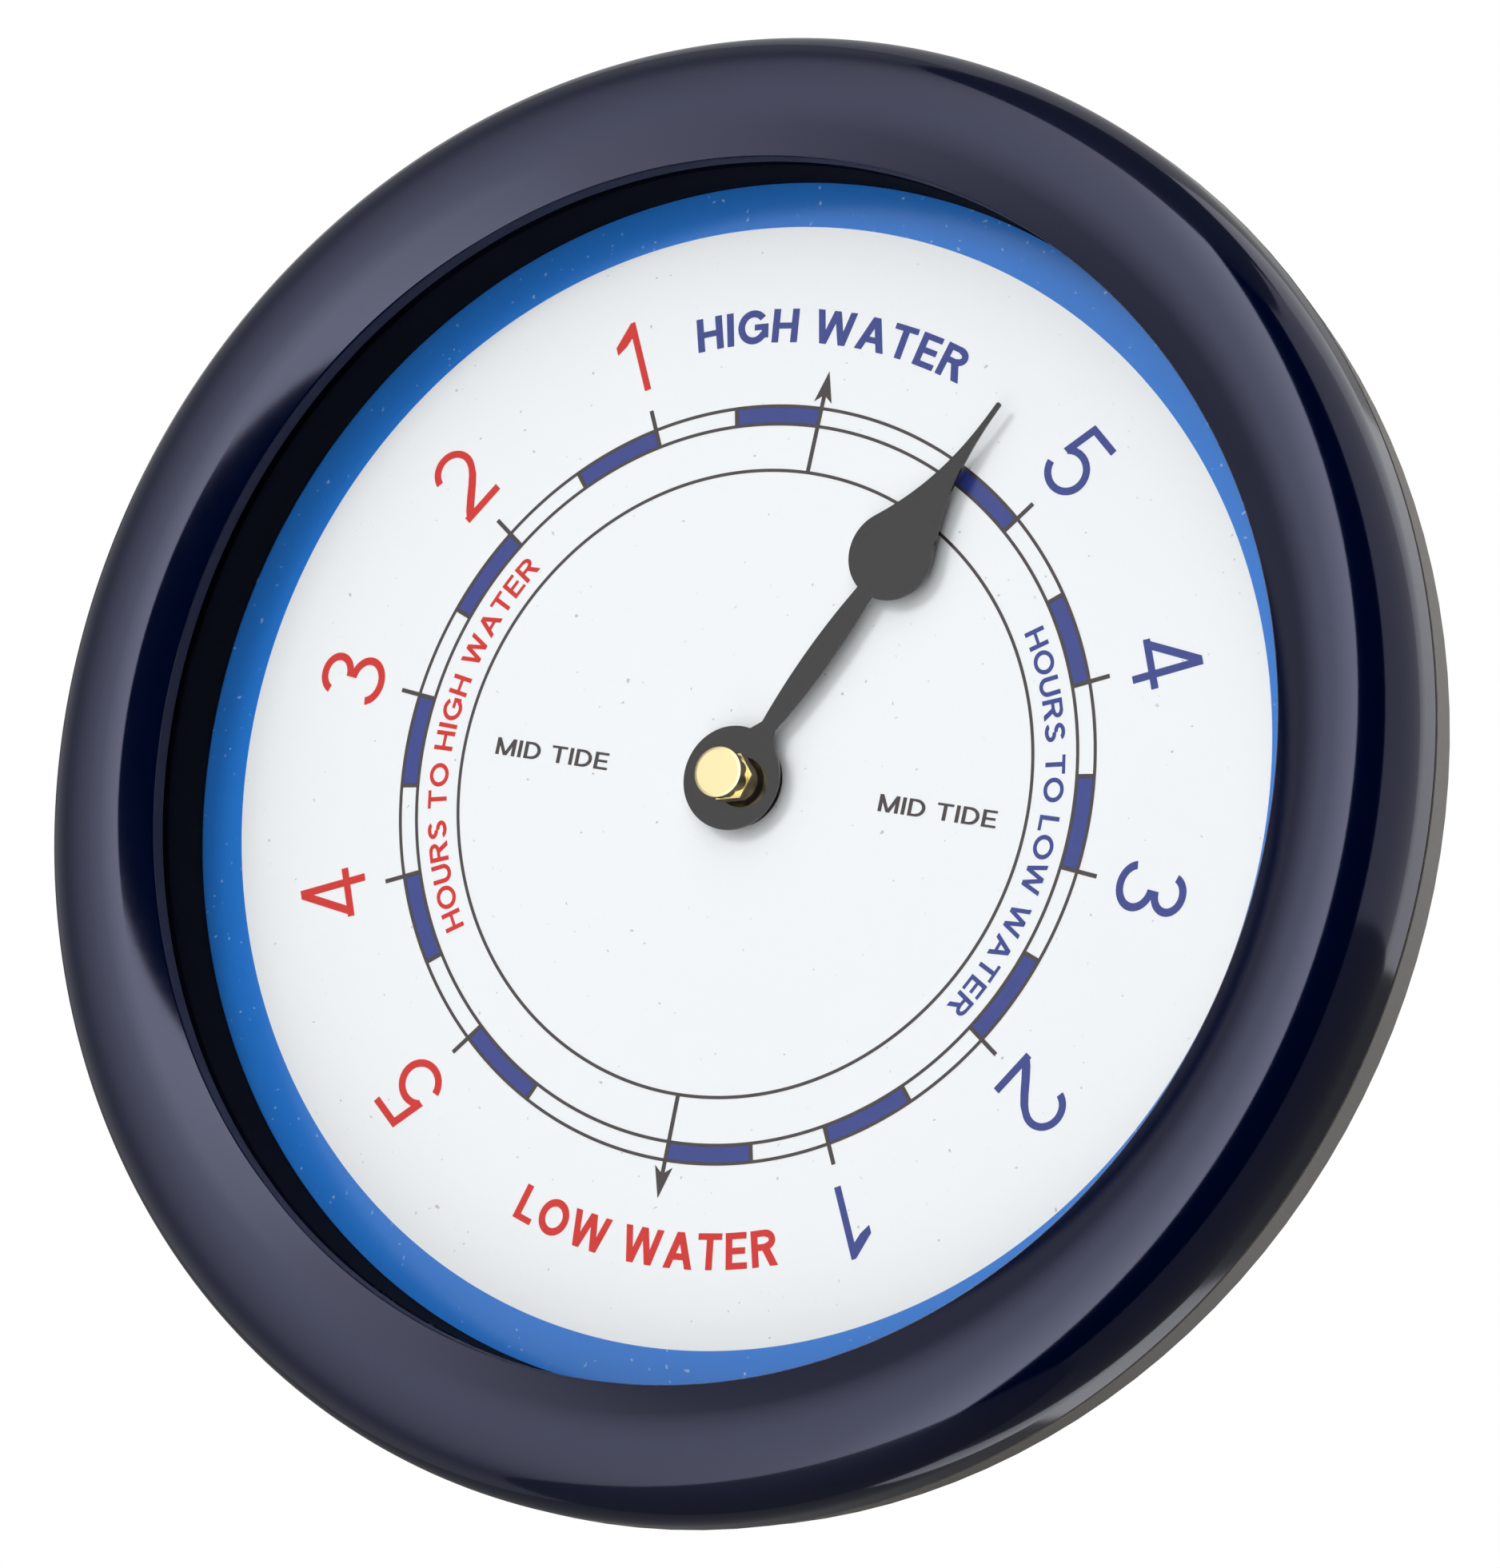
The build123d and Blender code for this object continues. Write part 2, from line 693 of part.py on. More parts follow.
def cannon_pinion():
    """Pinion that turns with the setting shaft and drives the minute wheel."""
    spec = pinion_on(cannon_teeth, motion_module, minute_bearing, minute_back, minute_front)
    body = gear(centre_at, spec) + rod(centre_at, cannon_hub_r, centre_front, spec.back)
    return body - rod(centre_at, centre_arbor_r, centre_front - overrun, spec.front + overrun)


def clutch_spring():
    """Slotted friction washer that lets the hand be set against the train."""
    disc = rod(centre_at, clutch_r, centre_back - clutch_t, centre_back)
    disc -= rod(centre_at, centre_arbor_r + fit_gap, centre_back - clutch_t - overrun, centre_back + overrun)
    slot = Pos(clutch_r, 0) * Rectangle(2 * (clutch_r - collar_r), clutch_t)
    for turn in range(3):
        disc -= slab(Rot(0, 0, 120 * turn) * slot, centre_back - clutch_t - overrun, centre_back + overrun)
    return disc


def centre_wheel():
    """Driven wheel that rides on the setting shaft."""
    spec = wheel_on(centre_teeth, slow_module, third_bearing, centre_back, centre_front)
    return gear(centre_at, spec) - rod(
        centre_at, centre_arbor_r + run_gap, centre_back - overrun, centre_front + overrun
    )


def third_wheel():
    """Third wheel and pinion."""
    wheel = wheel_on(third_teeth, slow_module, fourth_bearing, third_back, third_front)
    pinion = pinion_on(third_pinion_teeth, slow_module, third_bearing + 180, centre_back, centre_front)
    return mobile(third_at, wheel, pinion)


def fourth_wheel():
    """Fourth wheel and pinion."""
    wheel = wheel_on(fourth_teeth, slow_module, inter_bearing, fourth_back, fourth_front)
    pinion = pinion_on(fourth_pinion_teeth, slow_module, fourth_bearing + 180, third_back, third_front)
    return mobile(fourth_at, wheel, pinion)


def intermediate_wheel():
    """First reduction wheel after the motor."""
    wheel = wheel_on(inter_teeth, fast_module, rotor_bearing, inter_back, inter_front)
    pinion = pinion_on(inter_pinion_teeth, slow_module, inter_bearing + 180, fourth_back, fourth_front)
    return mobile(inter_at, wheel, pinion)


def rotor_pinion():
    """Motor's pinion, hub and pivots."""
    spec = pinion_on(rotor_pinion_teeth, fast_module, rotor_bearing + 180, inter_back, inter_front)
    arbor = rod(rotor_at, arbor_r, bridge_front + end_gap, train_front - end_gap)
    pivots = rod(rotor_at, pivot_r, bridge_front - pivot_l, train_front + pivot_l)
    return gear(rotor_at, spec) + arbor + pivots + rod(rotor_at, magnet_bore_r, spec.front, magnet_front)


def rotor_magnet():
    """Ring magnet on the rotor's hub."""
    return rod(rotor_at, magnet_r, magnet_back, magnet_front) - rod(
        rotor_at, magnet_bore_r, magnet_back - overrun, magnet_front + overrun
    )


def stator():
    """Sheet steel pole piece round the rotor, with two legs up to the coil's core."""
    right = stator_hole_r + stator_band / 2
    low = -stator_hole_r - stator_band
    high = stator_hole_r + stator_head
    leg_top = coil_rise + core_w / 2
    left = -stator_reach
    outline = Polygon(
        (left, low),
        (right, low),
        (right, leg_top),
        (right - stator_leg_w, leg_top),
        (right - stator_leg_w, high),
        (left + stator_leg_w, high),
        (left + stator_leg_w, leg_top),
        (left, leg_top),
        align=None,
    )
    plate = slab(Pos(*rotor_at) * outline, stator_back, stator_front)
    plate -= rod(rotor_at, stator_hole_r, stator_back - overrun, stator_front + overrun)
    return plate - rod(bridge_posts[0], bridge_post_r + fit_gap, stator_back - overrun, stator_front + overrun)


def coil_span():
    """Left and right ends of the coil between the stator's legs."""
    left = rotor_at[0] - stator_reach + stator_leg_w + fit_gap
    right = rotor_at[0] + stator_hole_r + stator_band / 2 - stator_leg_w - fit_gap
    return left, right


def along_x(sketch, left, right):
    """A sketch in the plane square to X, drawn as (depth, height), run between two places."""
    plane = Plane(origin=(left, 0, 0), x_dir=(0, -1, 0), z_dir=(1, 0, 0))
    return extrude(plane * sketch, amount=right - left, dir=(1, 0, 0))


def coil_section(width, height):
    """A rectangle about the coil's axis."""
    return Pos(coil_depth, -coil_z) * Rectangle(width, height)


def coil_core():
    """Flat core through the bobbin, lying on the stator's legs."""
    left = rotor_at[0] - stator_reach
    right = rotor_at[0] + stator_hole_r + stator_band / 2
    return along_x(coil_section(core_t, core_w), left, right)


def coil_bobbin():
    """Spool with two flanges and a flat hole for the core."""
    left, right = coil_span()
    tube_t = core_t + 2 * (fit_gap + coil_wall)
    tube_w = core_w + 2 * (fit_gap + coil_wall)
    flange = Pos(coil_depth, -coil_z) * Circle(coil_r)
    spool = along_x(coil_section(tube_t, tube_w), left, right)
    spool += along_x(flange, left, left + coil_flange_t)
    spool += along_x(flange, right - coil_flange_t, right)
    return spool - along_x(
        coil_section(core_t + 2 * fit_gap, core_w + 2 * fit_gap), left - overrun, right + overrun
    )


def coil_winding():
    """Copper winding on the bobbin, one closed body inside the sealed movement."""
    left, right = coil_span()
    tube_t = core_t + 2 * (fit_gap + coil_wall)
    tube_w = core_w + 2 * (fit_gap + coil_wall)
    wound = Pos(coil_depth, -coil_z) * Circle(coil_r - winding_inset)
    body = along_x(wound, left + coil_flange_t, right - coil_flange_t)
    return body - along_x(coil_section(tube_t, tube_w), left, right)


def board_middle():
    """Centre of the circuit board."""
    return (
        rotor_at[0] - board_edge_gap - board_w / 2,
        rotor_at[1] - board_drop + board_h / 2,
    )


def crystal_middle():
    """Centre of the crystal, in a notch at the board's upper edge."""
    x, z = board_middle()
    return (x, z + board_h / 2 - crystal_r - crystal_notch_gap)


def circuit_board():
    """Driver board on the bridge's back, notched for the crystal."""
    notch_w = crystal_l + 2 * crystal_notch_gap
    notch_h = 2 * (crystal_r + crystal_notch_gap)
    board = Pos(*board_middle()) * Rectangle(board_w, board_h)
    board -= Pos(*crystal_middle()) * Rectangle(notch_w, notch_h + overrun)
    return slab(board, bridge_back - board_t, bridge_back)


def driver_chip():
    """Resin drop over the chip."""
    x, z = board_middle()
    place = (x, z - board_h / 4)
    drop = rod(place, chip_r, bridge_back - board_t - chip_h, bridge_back - board_t)
    return fillet(drop.edges().sort_by(Axis.Y)[-1], chip_h * 2 / 3)


def quartz_crystal():
    """Small can crystal lying against the bridge."""
    x, z = crystal_middle()
    section = Pos(bridge_back - crystal_r, -z) * Circle(crystal_r)
    return along_x(section, x - crystal_l / 2, x + crystal_l / 2)


def strip_span():
    """Front and back depths of the contact strips."""
    return cell_depth - contact_w / 2, cell_depth + contact_w / 2


def positive_contact():
    """Flat strip at the cell's nub, with a leg up past the bay wall."""
    low = cell_z - cell_r + contact_inset
    high = bay_top + bay_wall + contact_leg
    back, front = strip_span()
    strip = Pos(cell_tip_x + contact_t / 2, (low + high) / 2) * Rectangle(contact_t, high - low)
    return slab(strip, back, front)


def negative_contact():
    """Bent strip with a sprung leaf against the cell's flat end."""
    low = cell_z - cell_r + contact_inset
    high = bay_top + bay_wall + contact_leg
    back, front = strip_span()
    wall_x = -inner_half
    pad_x = cell_tip_x - cell_l
    outline = Polygon(
        (wall_x, low),
        (wall_x + contact_t, low),
        (pad_x, cell_z - leaf_fold),
        (pad_x, cell_z + leaf_fold),
        (pad_x - contact_t, cell_z + leaf_fold),
        (pad_x - contact_t, cell_z - leaf_fold + contact_t),
        (wall_x + contact_t, low + contact_inset),
        (wall_x + contact_t, high),
        (wall_x, high),
        align=None,
    )
    return slab(outline, back, front)


def battery_cell():
    """AA cell with its nub at the right."""
    left = cell_tip_x - cell_l
    body = along_x(Pos(cell_depth, -cell_z) * Circle(cell_r), left, cell_tip_x - cell_nub_l)
    return body + along_x(Pos(cell_depth, -cell_z) * Circle(cell_nub_r), left, cell_tip_x)


def set_knob():
    """Ridged knob on the setting shaft behind the movement."""
    front = movement_back - knob_gap
    back = front - knob_t
    disc = rod(centre_at, knob_r, back, front)
    disc = fillet(disc.edges().filter_by(GeomType.CIRCLE), knob_round)
    ridge = Pos(knob_r, 0) * Circle(knob_ridge_d)
    for k in range(knob_ridges):
        disc -= slab(Rot(0, 0, 360 * k / knob_ridges) * ridge, back - overrun, front + overrun)
    return disc - rod(centre_at, centre_arbor_r, back - overrun, front + overrun)


pieces = (
    bezel,
    lens,
    spacer_ring,
    dial,
    back_shell,
    case_screws,
    tide_hand,
    hand_bushing,
    cap_nut,
    threaded_bush,
    rubber_washer,
    brass_washer,
    fixing_nut,
    movement_case,
    movement_cover,
    movement_screws,
    train_bridge,
    tide_arbor,
    tide_wheel,
    minute_wheel,
    centre_arbor,
    cannon_pinion,
    clutch_spring,
    centre_wheel,
    third_wheel,
    fourth_wheel,
    intermediate_wheel,
    rotor_pinion,
    rotor_magnet,
    stator,
    coil_core,
    coil_bobbin,
    coil_winding,
    circuit_board,
    driver_chip,
    quartz_crystal,
    positive_contact,
    negative_contact,
    battery_cell,
    set_knob,
)

os.makedirs("parts", exist_ok=True)
for piece in pieces:
    export_step(piece(), f"parts/{piece.__name__}.step")
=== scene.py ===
"""Looks of a round wall tide clock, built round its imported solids.

Metres, in the frame of the solids: X right, Y into the wall, Z up. Sizes in the classes are millimetres. A
depth is a distance in front of the wall, so it is minus Y. Dial angles are degrees clockwise from the top.
"""

import logging
import math
from dataclasses import dataclass
from enum import Enum

import bmesh
import bpy
from mathutils import Matrix, Vector


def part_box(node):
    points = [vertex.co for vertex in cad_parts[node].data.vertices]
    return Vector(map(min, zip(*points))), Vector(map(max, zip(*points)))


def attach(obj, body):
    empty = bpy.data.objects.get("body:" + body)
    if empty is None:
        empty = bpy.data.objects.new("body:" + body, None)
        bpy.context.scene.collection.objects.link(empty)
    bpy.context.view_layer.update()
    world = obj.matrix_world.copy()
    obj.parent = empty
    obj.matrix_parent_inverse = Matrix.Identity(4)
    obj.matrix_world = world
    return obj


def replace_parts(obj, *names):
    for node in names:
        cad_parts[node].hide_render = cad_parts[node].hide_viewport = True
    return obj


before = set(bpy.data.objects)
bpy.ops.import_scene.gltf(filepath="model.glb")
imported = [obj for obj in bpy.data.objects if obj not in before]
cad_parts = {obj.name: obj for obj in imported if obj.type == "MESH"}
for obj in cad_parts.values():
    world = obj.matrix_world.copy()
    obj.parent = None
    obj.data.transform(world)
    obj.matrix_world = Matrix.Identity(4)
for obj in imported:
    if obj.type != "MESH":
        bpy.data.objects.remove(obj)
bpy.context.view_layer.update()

LOG = logging.getLogger("tide_clock")
MM = 0.001
BODY = "clock"
FULL_TURN = 360.0
# Points nearer than this, in metres, are one
WELD_M = 1e-8
# Knee, slope, offset and power of the sRGB curve
SRGB_KNEE, SRGB_SLOPE, SRGB_OFFSET, SRGB_POWER = 0.04045, 12.92, 0.055, 2.4
# Detail of the noise in patches, in grit and in specks, and rays that find a rounded edge
PATCH_DETAIL, GRIT_DETAIL, SPECK_DETAIL, EDGE_RAYS = 3.0, 2.0, 1.0, 6
WHITE = (1.0, 1.0, 1.0, 1.0)
Colour = tuple[float, float, float, float]
Spot = tuple[float, float, float]
Point = tuple[float, float]
Outline = list[Point]


def linear(code: str, share: float = 1.0) -> Colour:
    """Turns an sRGB hex colour to linear light.

    Args:
        code: Colour written as #RRGGBB.
        share: Factor on the linear colour.

    Returns:
        Linear red, green, blue and a full alpha.
    """
    parts = [int(code[k:k + 2], 16) / 255 for k in (1, 3, 5)]
    bent = [((c + SRGB_OFFSET) / (1 + SRGB_OFFSET)) ** SRGB_POWER for c in parts]
    flat = [c / SRGB_SLOPE if c <= SRGB_KNEE else b for c, b in zip(parts, bent)]
    return (*(min(1.0, c * share) for c in flat), 1.0)


def add_node(
    tree: bpy.types.NodeTree,
    kind: str,
    settings: dict[str | int, object] | None = None,
    links: dict[str | int, bpy.types.NodeSocket] | None = None,
) -> bpy.types.Node:
    """Adds one node with its settings and links.

    Args:
        tree: Node tree of a material or the world.
        kind: Blender's name for the node type.
        settings: Values by socket name, socket number or attribute name.
        links: Sockets to join, by the name or number of the input they go to.

    Returns:
        The new node.
    """
    made = tree.nodes.new(kind)
    for name, value in (settings or {}).items():
        if isinstance(name, str) and hasattr(made, name):
            setattr(made, name, value)
        else:
            made.inputs[name].default_value = value
    for name, socket in (links or {}).items():
        tree.links.new(socket, made.inputs[name])
    return made


@dataclass(frozen=True)
class Finish:
    """One real material and how its surface was made.

    Attributes:
        name: Common name of the material and its surface.
        colour: sRGB hex colour.
        roughness: Typical roughness of the surface.
        ior: Index of refraction.
        metallic: One for bare metal.
        tone: Share by which the colour wanders.
        patch_mm: Size of the patches in which it wanders.
        grit_mm: Size of the surface's grain.
        grit_depth_mm: Height of the grain.
        wear: Share by which the roughness wanders.
        edge_mm: Radius of the small round on every edge.
        sheen: sRGB hex tint of its mirror reflection.
    """

    name: str
    colour: str
    roughness: float
    ior: float = 1.5
    metallic: float = 0.0
    tone: float = 0.06
    patch_mm: float = 14.0
    grit_mm: float = 0.9
    grit_depth_mm: float = 0.004
    wear: float = 0.12
    edge_mm: float = 0.0
    sheen: str = "#FFFFFF"

    def material(self) -> bpy.types.Material:
        """Makes the material once, and gives the same one after that.

        Returns:
            The material.
        """
        made = bpy.data.materials.get(self.name)
        if made is None:
            made = bpy.data.materials.new(self.name)
            made.use_nodes = True
            made.node_tree.nodes.clear()
            self.grow(made.node_tree)
        return made

    def base(self, tree: bpy.types.NodeTree, where: bpy.types.NodeSocket) -> bpy.types.NodeSocket:
        """Colour of the surface, wandering a little from patch to patch.

        Args:
            tree: The material's nodes.
            where: Object coordinates.

        Returns:
            The colour socket.
        """
        patch = {"Scale": 1 / (self.patch_mm * MM), "Detail": PATCH_DETAIL}
        patches = add_node(tree, "ShaderNodeTexNoise", patch, {"Vector": where}).outputs[0]
        dark, pale = linear(self.colour, 1 - self.tone), linear(self.colour, 1 + self.tone)
        tones = {"data_type": "RGBA", 6: dark, 7: pale}
        return add_node(tree, "ShaderNodeMix", tones, {0: patches}).outputs[2]

    def grow(self, tree: bpy.types.NodeTree) -> None:
        """Fills the material's node tree.

        Args:
            tree: The material's nodes.
        """
        where = add_node(tree, "ShaderNodeTexCoord").outputs["Object"]
        grain = {"Scale": 1 / (self.grit_mm * MM), "Detail": GRIT_DETAIL}
        grit = add_node(tree, "ShaderNodeTexNoise", grain, {"Vector": where}).outputs[0]
        span = {"To Min": self.roughness * (1 - self.wear), "To Max": self.roughness * (1 + self.wear)}
        rough = add_node(tree, "ShaderNodeMapRange", span, {"Value": grit}).outputs[0]
        bump_links = {"Height": grit}
        if self.edge_mm:
            edge = add_node(tree, "ShaderNodeBevel", {"samples": EDGE_RAYS, "Radius": self.edge_mm * MM})
            bump_links["Normal"] = edge.outputs[0]
        bump = add_node(tree, "ShaderNodeBump", {"Distance": self.grit_depth_mm * MM}, bump_links)
        settings = {"Metallic": self.metallic, "IOR": self.ior, "Specular Tint": linear(self.sheen)}
        links = {"Base Color": self.base(tree, where), "Roughness": rough, "Normal": bump.outputs[0]}
        shader = add_node(tree, "ShaderNodeBsdfPrincipled", settings, links)
        add_node(tree, "ShaderNodeOutputMaterial", None, {"Surface": shader.outputs[0]})


@dataclass(frozen=True)
class DustyPrint(Finish):
    """Coated card or film that carries a few specks of dust.

    Attributes:
        speck_mm: Size of a speck.
        speck_share: Noise level above which a speck shows.
        speck_edge: Noise level over which it comes up.
        speck_cover: How much of the print a speck hides.
        speck_colour: sRGB hex colour of the dust.
    """

    speck_mm: float = 1.3
    speck_share: float = 0.74
    speck_edge: float = 0.05
    speck_cover: float = 0.6
    speck_colour: str = "#8E8C88"

    def base(self, tree: bpy.types.NodeTree, where: bpy.types.NodeSocket) -> bpy.types.NodeSocket:
        """Colour of the print with thin specks of dust on it.

        Args:
            tree: The material's nodes.
            where: Object coordinates.

        Returns:
            The colour socket.
        """
        plain = super().base(tree, where)
        speck = {"Scale": 1 / (self.speck_mm * MM), "Detail": SPECK_DETAIL}
        noise = add_node(tree, "ShaderNodeTexNoise", speck, {"Vector": where}).outputs[0]
        span = {"From Min": self.speck_share, "From Max": self.speck_share + self.speck_edge}
        edge = {**span, "To Max": self.speck_cover}
        specks = add_node(tree, "ShaderNodeMapRange", edge, {"Value": noise}).outputs[0]
        dust = {"data_type": "RGBA", 7: linear(self.speck_colour)}
        return add_node(tree, "ShaderNodeMix", dust, {0: specks, 6: plain}).outputs[2]


@dataclass(frozen=True)
class ClearSheet(Finish):
    """Clear sheet with a low-glare coat: it mirrors by its Fresnel share and lets the rest through."""

    def grow(self, tree: bpy.types.NodeTree) -> None:
        """Fills the material's node tree.

        Args:
            tree: The material's nodes.
        """
        where = add_node(tree, "ShaderNodeTexCoord").outputs["Object"]
        smear = {"Scale": 1 / (self.patch_mm * MM), "Detail": GRIT_DETAIL}
        film = add_node(tree, "ShaderNodeTexNoise", smear, {"Vector": where}).outputs[0]
        span = {"To Min": self.roughness, "To Max": self.roughness * (1 + self.wear)}
        rough = add_node(tree, "ShaderNodeMapRange", span, {"Value": film}).outputs[0]
        inside = add_node(tree, "ShaderNodeNewGeometry").outputs["Backfacing"]
        index = add_node(tree, "ShaderNodeMix", {2: self.ior, 3: 1 / self.ior}, {0: inside}).outputs[0]
        share = add_node(tree, "ShaderNodeFresnel", None, {"IOR": index}).outputs[0]
        settings = {"Base Color": linear(self.colour), "Metallic": 1.0}
        shader = add_node(tree, "ShaderNodeBsdfPrincipled", settings, {"Roughness": rough, "Alpha": share})
        add_node(tree, "ShaderNodeOutputMaterial", None, {"Surface": shader.outputs[0]})


@dataclass(frozen=True)
class BandedSleeve(Finish):
    """Shrink sleeve of a dry cell, with a plain band at its plus end.

    Attributes:
        band: sRGB hex colour of the band.
        band_from: Where the band starts along X, metres.
    """

    band: str = "#4A4F54"
    band_from: float = 0.0

    def base(self, tree: bpy.types.NodeTree, where: bpy.types.NodeSocket) -> bpy.types.NodeSocket:
        """Colour of the sleeve, with its band.

        Args:
            tree: The material's nodes.
            where: Object coordinates.

        Returns:
            The colour socket.
        """
        plain = super().base(tree, where)
        along = add_node(tree, "ShaderNodeSeparateXYZ", None, {0: where}).outputs["X"]
        start = {"operation": "GREATER_THAN", 1: self.band_from}
        past = add_node(tree, "ShaderNodeMath", start, {0: along}).outputs[0]
        ink = {"data_type": "RGBA", 7: linear(self.band)}
        return add_node(tree, "ShaderNodeMix", ink, {0: past, 6: plain}).outputs[2]


# Moulded gloss ABS: almost black navy body, a lilac sheen with a slight ripple from the mould
NAVY_ABS = Finish(
    "moulded_navy_abs",
    "#000620",
    0.09,
    ior=1.76,
    sheen="#D9DCFF",
    grit_mm=2.4,
    grit_depth_mm=0.0015,
    wear=0.2,
)
# The same ABS left unpolished on the narrow land inside the lip, rough with little gloss; its colour,
# lighter than the gloss body's, is painted sheen standing in for that land's soft reflection
DULL_NAVY_ABS_PAINTED_SHEEN = Finish("unpolished_navy_abs_painted_sheen", "#20263F", 0.7, ior=1.25)
# Matt navy-black card of the ring between dial and lens, near black and with almost no reflection: its own
# dark colour, plus painted shade of the recess, so the dial seems to sit deep
BLACK_CARD_PAINTED_SHADE = Finish("matt_black_card_painted_shade", "#080B17", 0.85, ior=1.08, grit_depth_mm=0.01)
# Satin ABS: fine spark-eroded grain, brownish grey
GREY_ABS = Finish("satin_grey_abs", "#7A746D", 0.42, grit_mm=0.8, grit_depth_mm=0.02, tone=0.05)
# Low-glare clear acrylic: hardly seen, except as a faint sheen
CLEAR_ACRYLIC = ClearSheet("low_glare_acrylic", "#FFFFFF", 0.03, ior=1.06, patch_mm=30.0, wear=1.0)
# Coated white film: clean, a little gloss, a few specks of dust
DIAL_WHITE = DustyPrint("coated_white_film", "#E0E3E5", 0.2, tone=0.012, patch_mm=40.0, grit_depth_mm=0.001)
# Screen-printed inks under the same coat
BAND_INK = DustyPrint(
    "screen_ink_sea_blue", "#2171C8", 0.2, tone=0.05, patch_mm=30.0, speck_share=0.7, speck_colour="#9FC0DC"
)
SCALE_INK = Finish("screen_ink_violet_blue", "#29387F", 0.2, tone=0.08, patch_mm=3.0, grit_depth_mm=0.001)
RED_INK = Finish("screen_ink_red", "#C21A10", 0.2, tone=0.08, patch_mm=3.0, grit_depth_mm=0.001)
LINE_INK = Finish("screen_ink_black", "#3A3233", 0.2, tone=0.1, patch_mm=3.0, grit_depth_mm=0.001)
# Stove enamel on stamped brass: black, glossy, a fine orange peel, soft edges
BLACK_ENAMEL = Finish(
    "black_stove_enamel", "#0D090A", 0.05, ior=1.62, grit_mm=1.4, grit_depth_mm=0.0012, edge_mm=0.14
)
# Brass of the fixings under the hand, dull and painted dark: painted shade where the hand shades them
BRASS_PAINTED_SHADE = Finish("brass_with_painted_shade", "#2E2A26", 0.5, metallic=1.0, wear=0.3)
# Turned and polished brass: warm yellow, slightly streaky
BRASS = Finish(
    "polished_brass",
    "#F3E0AC",
    0.16,
    metallic=1.0,
    grit_mm=0.5,
    grit_depth_mm=0.001,
    wear=0.3,
    edge_mm=0.12,
)
# Nitrile rubber: dull black
RUBBER = Finish("nitrile_rubber", "#1B1B1C", 0.8, grit_depth_mm=0.02)
# Zinc plated steel: grey, slightly blue, worn dull
ZINC_STEEL = Finish("zinc_plated_steel", "#B9BCC0", 0.32, metallic=1.0, wear=0.3, edge_mm=0.1)
# Turned steel: bright and plain
ARBOR_STEEL = Finish("turned_steel", "#A9A9AC", 0.25, metallic=1.0, edge_mm=0.05)
# Moulded black polypropylene of the movement's box: fine satin grain
MOVEMENT_PP = Finish(
    "satin_black_polypropylene", "#17181A", 0.45, grit_mm=0.7, grit_depth_mm=0.02, edge_mm=0.25
)
# Moulded grey ABS of the inner frame
FRAME_ABS = Finish("moulded_pale_abs", "#C2C1BA", 0.5, grit_depth_mm=0.01, edge_mm=0.1)
# Natural acetal of the gears: waxy off-white
ACETAL = Finish("natural_acetal", "#E8E5DA", 0.38, grit_depth_mm=0.002)
# Spring bronze strip: reddish gold
BRONZE = Finish("spring_bronze", "#C08A50", 0.3, metallic=1.0)
# Sintered ferrite: matt dark grey
FERRITE = Finish("sintered_ferrite", "#3A3A3E", 0.6, grit_mm=0.3, grit_depth_mm=0.01)
# Stamped soft iron: grey and dull
SOFT_IRON = Finish("stamped_soft_iron", "#8E8E90", 0.4, metallic=1.0, wear=0.3)
# Enamelled copper wire: glossy orange-brown, ribbed at the wire's pitch
COPPER_WIRE = Finish(
    "enamelled_copper_wire", "#B0602E", 0.25, metallic=1.0, grit_mm=0.25, grit_depth_mm=0.05
)
# Epoxy board with green lacquer
BOARD_LACQUER = Finish("green_lacquered_epoxy", "#1E6034", 0.3, tone=0.15, patch_mm=2.0)
# Black potting resin: glossy drop
BLACK_RESIN = Finish("black_potting_resin", "#0A0A0B", 0.15)
# Shrink sleeve of the cell: glossy pale grey with a plain dark band at the plus end
CELL_BAND_MM = 15.0
CELL_BAND_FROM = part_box("battery_cell")[1][0] - CELL_BAND_MM * MM
CELL_SLEEVE = BandedSleeve(
    "plain_shrink_sleeve", "#A9AEB2", 0.22, tone=0.1, edge_mm=0.3, band_from=CELL_BAND_FROM
)
# Studio: grey paper, grey felt and black felt
GREY_FLOOR = Finish("grey_paper_floor", "#8A8A88", 0.7, tone=0.01, patch_mm=400.0)
GREY_FELT = Finish("grey_felt", "#6A6A6A", 0.95, tone=0.02)
BLACK_FELT = Finish("black_felt", "#050505", 0.95, ior=1.05, tone=0.02)

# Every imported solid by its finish, those that a piece of this script replaces among them
NODES_BY_FINISH: dict[Finish, tuple[str, ...]] = {
    NAVY_ABS: ("bezel",),
    BLACK_CARD_PAINTED_SHADE: ("spacer_ring",),
    CLEAR_ACRYLIC: ("lens",),
    DIAL_WHITE: ("dial",),
    GREY_ABS: ("back_shell",),
    BLACK_ENAMEL: ("tide_hand",),
    BRASS: ("hand_bushing", "cap_nut", "threaded_bush"),
    # Painted shade: the washer and nut under the hand are painted dark brass
    BRASS_PAINTED_SHADE: ("brass_washer", "fixing_nut"),
    RUBBER: ("rubber_washer",),
    ZINC_STEEL: (
        "case_screws",
        "movement_screws",
        "quartz_crystal",
        "positive_contact",
        "negative_contact",
    ),
    ARBOR_STEEL: ("tide_arbor", "centre_arbor"),
    MOVEMENT_PP: ("movement_case", "movement_cover", "set_knob"),
    FRAME_ABS: ("train_bridge", "coil_bobbin"),
    ACETAL: (
        "tide_wheel",
        "minute_wheel",
        "cannon_pinion",
        "centre_wheel",
        "third_wheel",
        "fourth_wheel",
        "intermediate_wheel",
        "rotor_pinion",
    ),
    BRONZE: ("clutch_spring",),
    FERRITE: ("rotor_magnet",),
    SOFT_IRON: ("stator", "coil_core"),
    COPPER_WIRE: ("coil_winding",),
    BOARD_LACQUER: ("circuit_board",),
    BLACK_RESIN: ("driver_chip",),
    CELL_SLEEVE: ("battery_cell",),
}


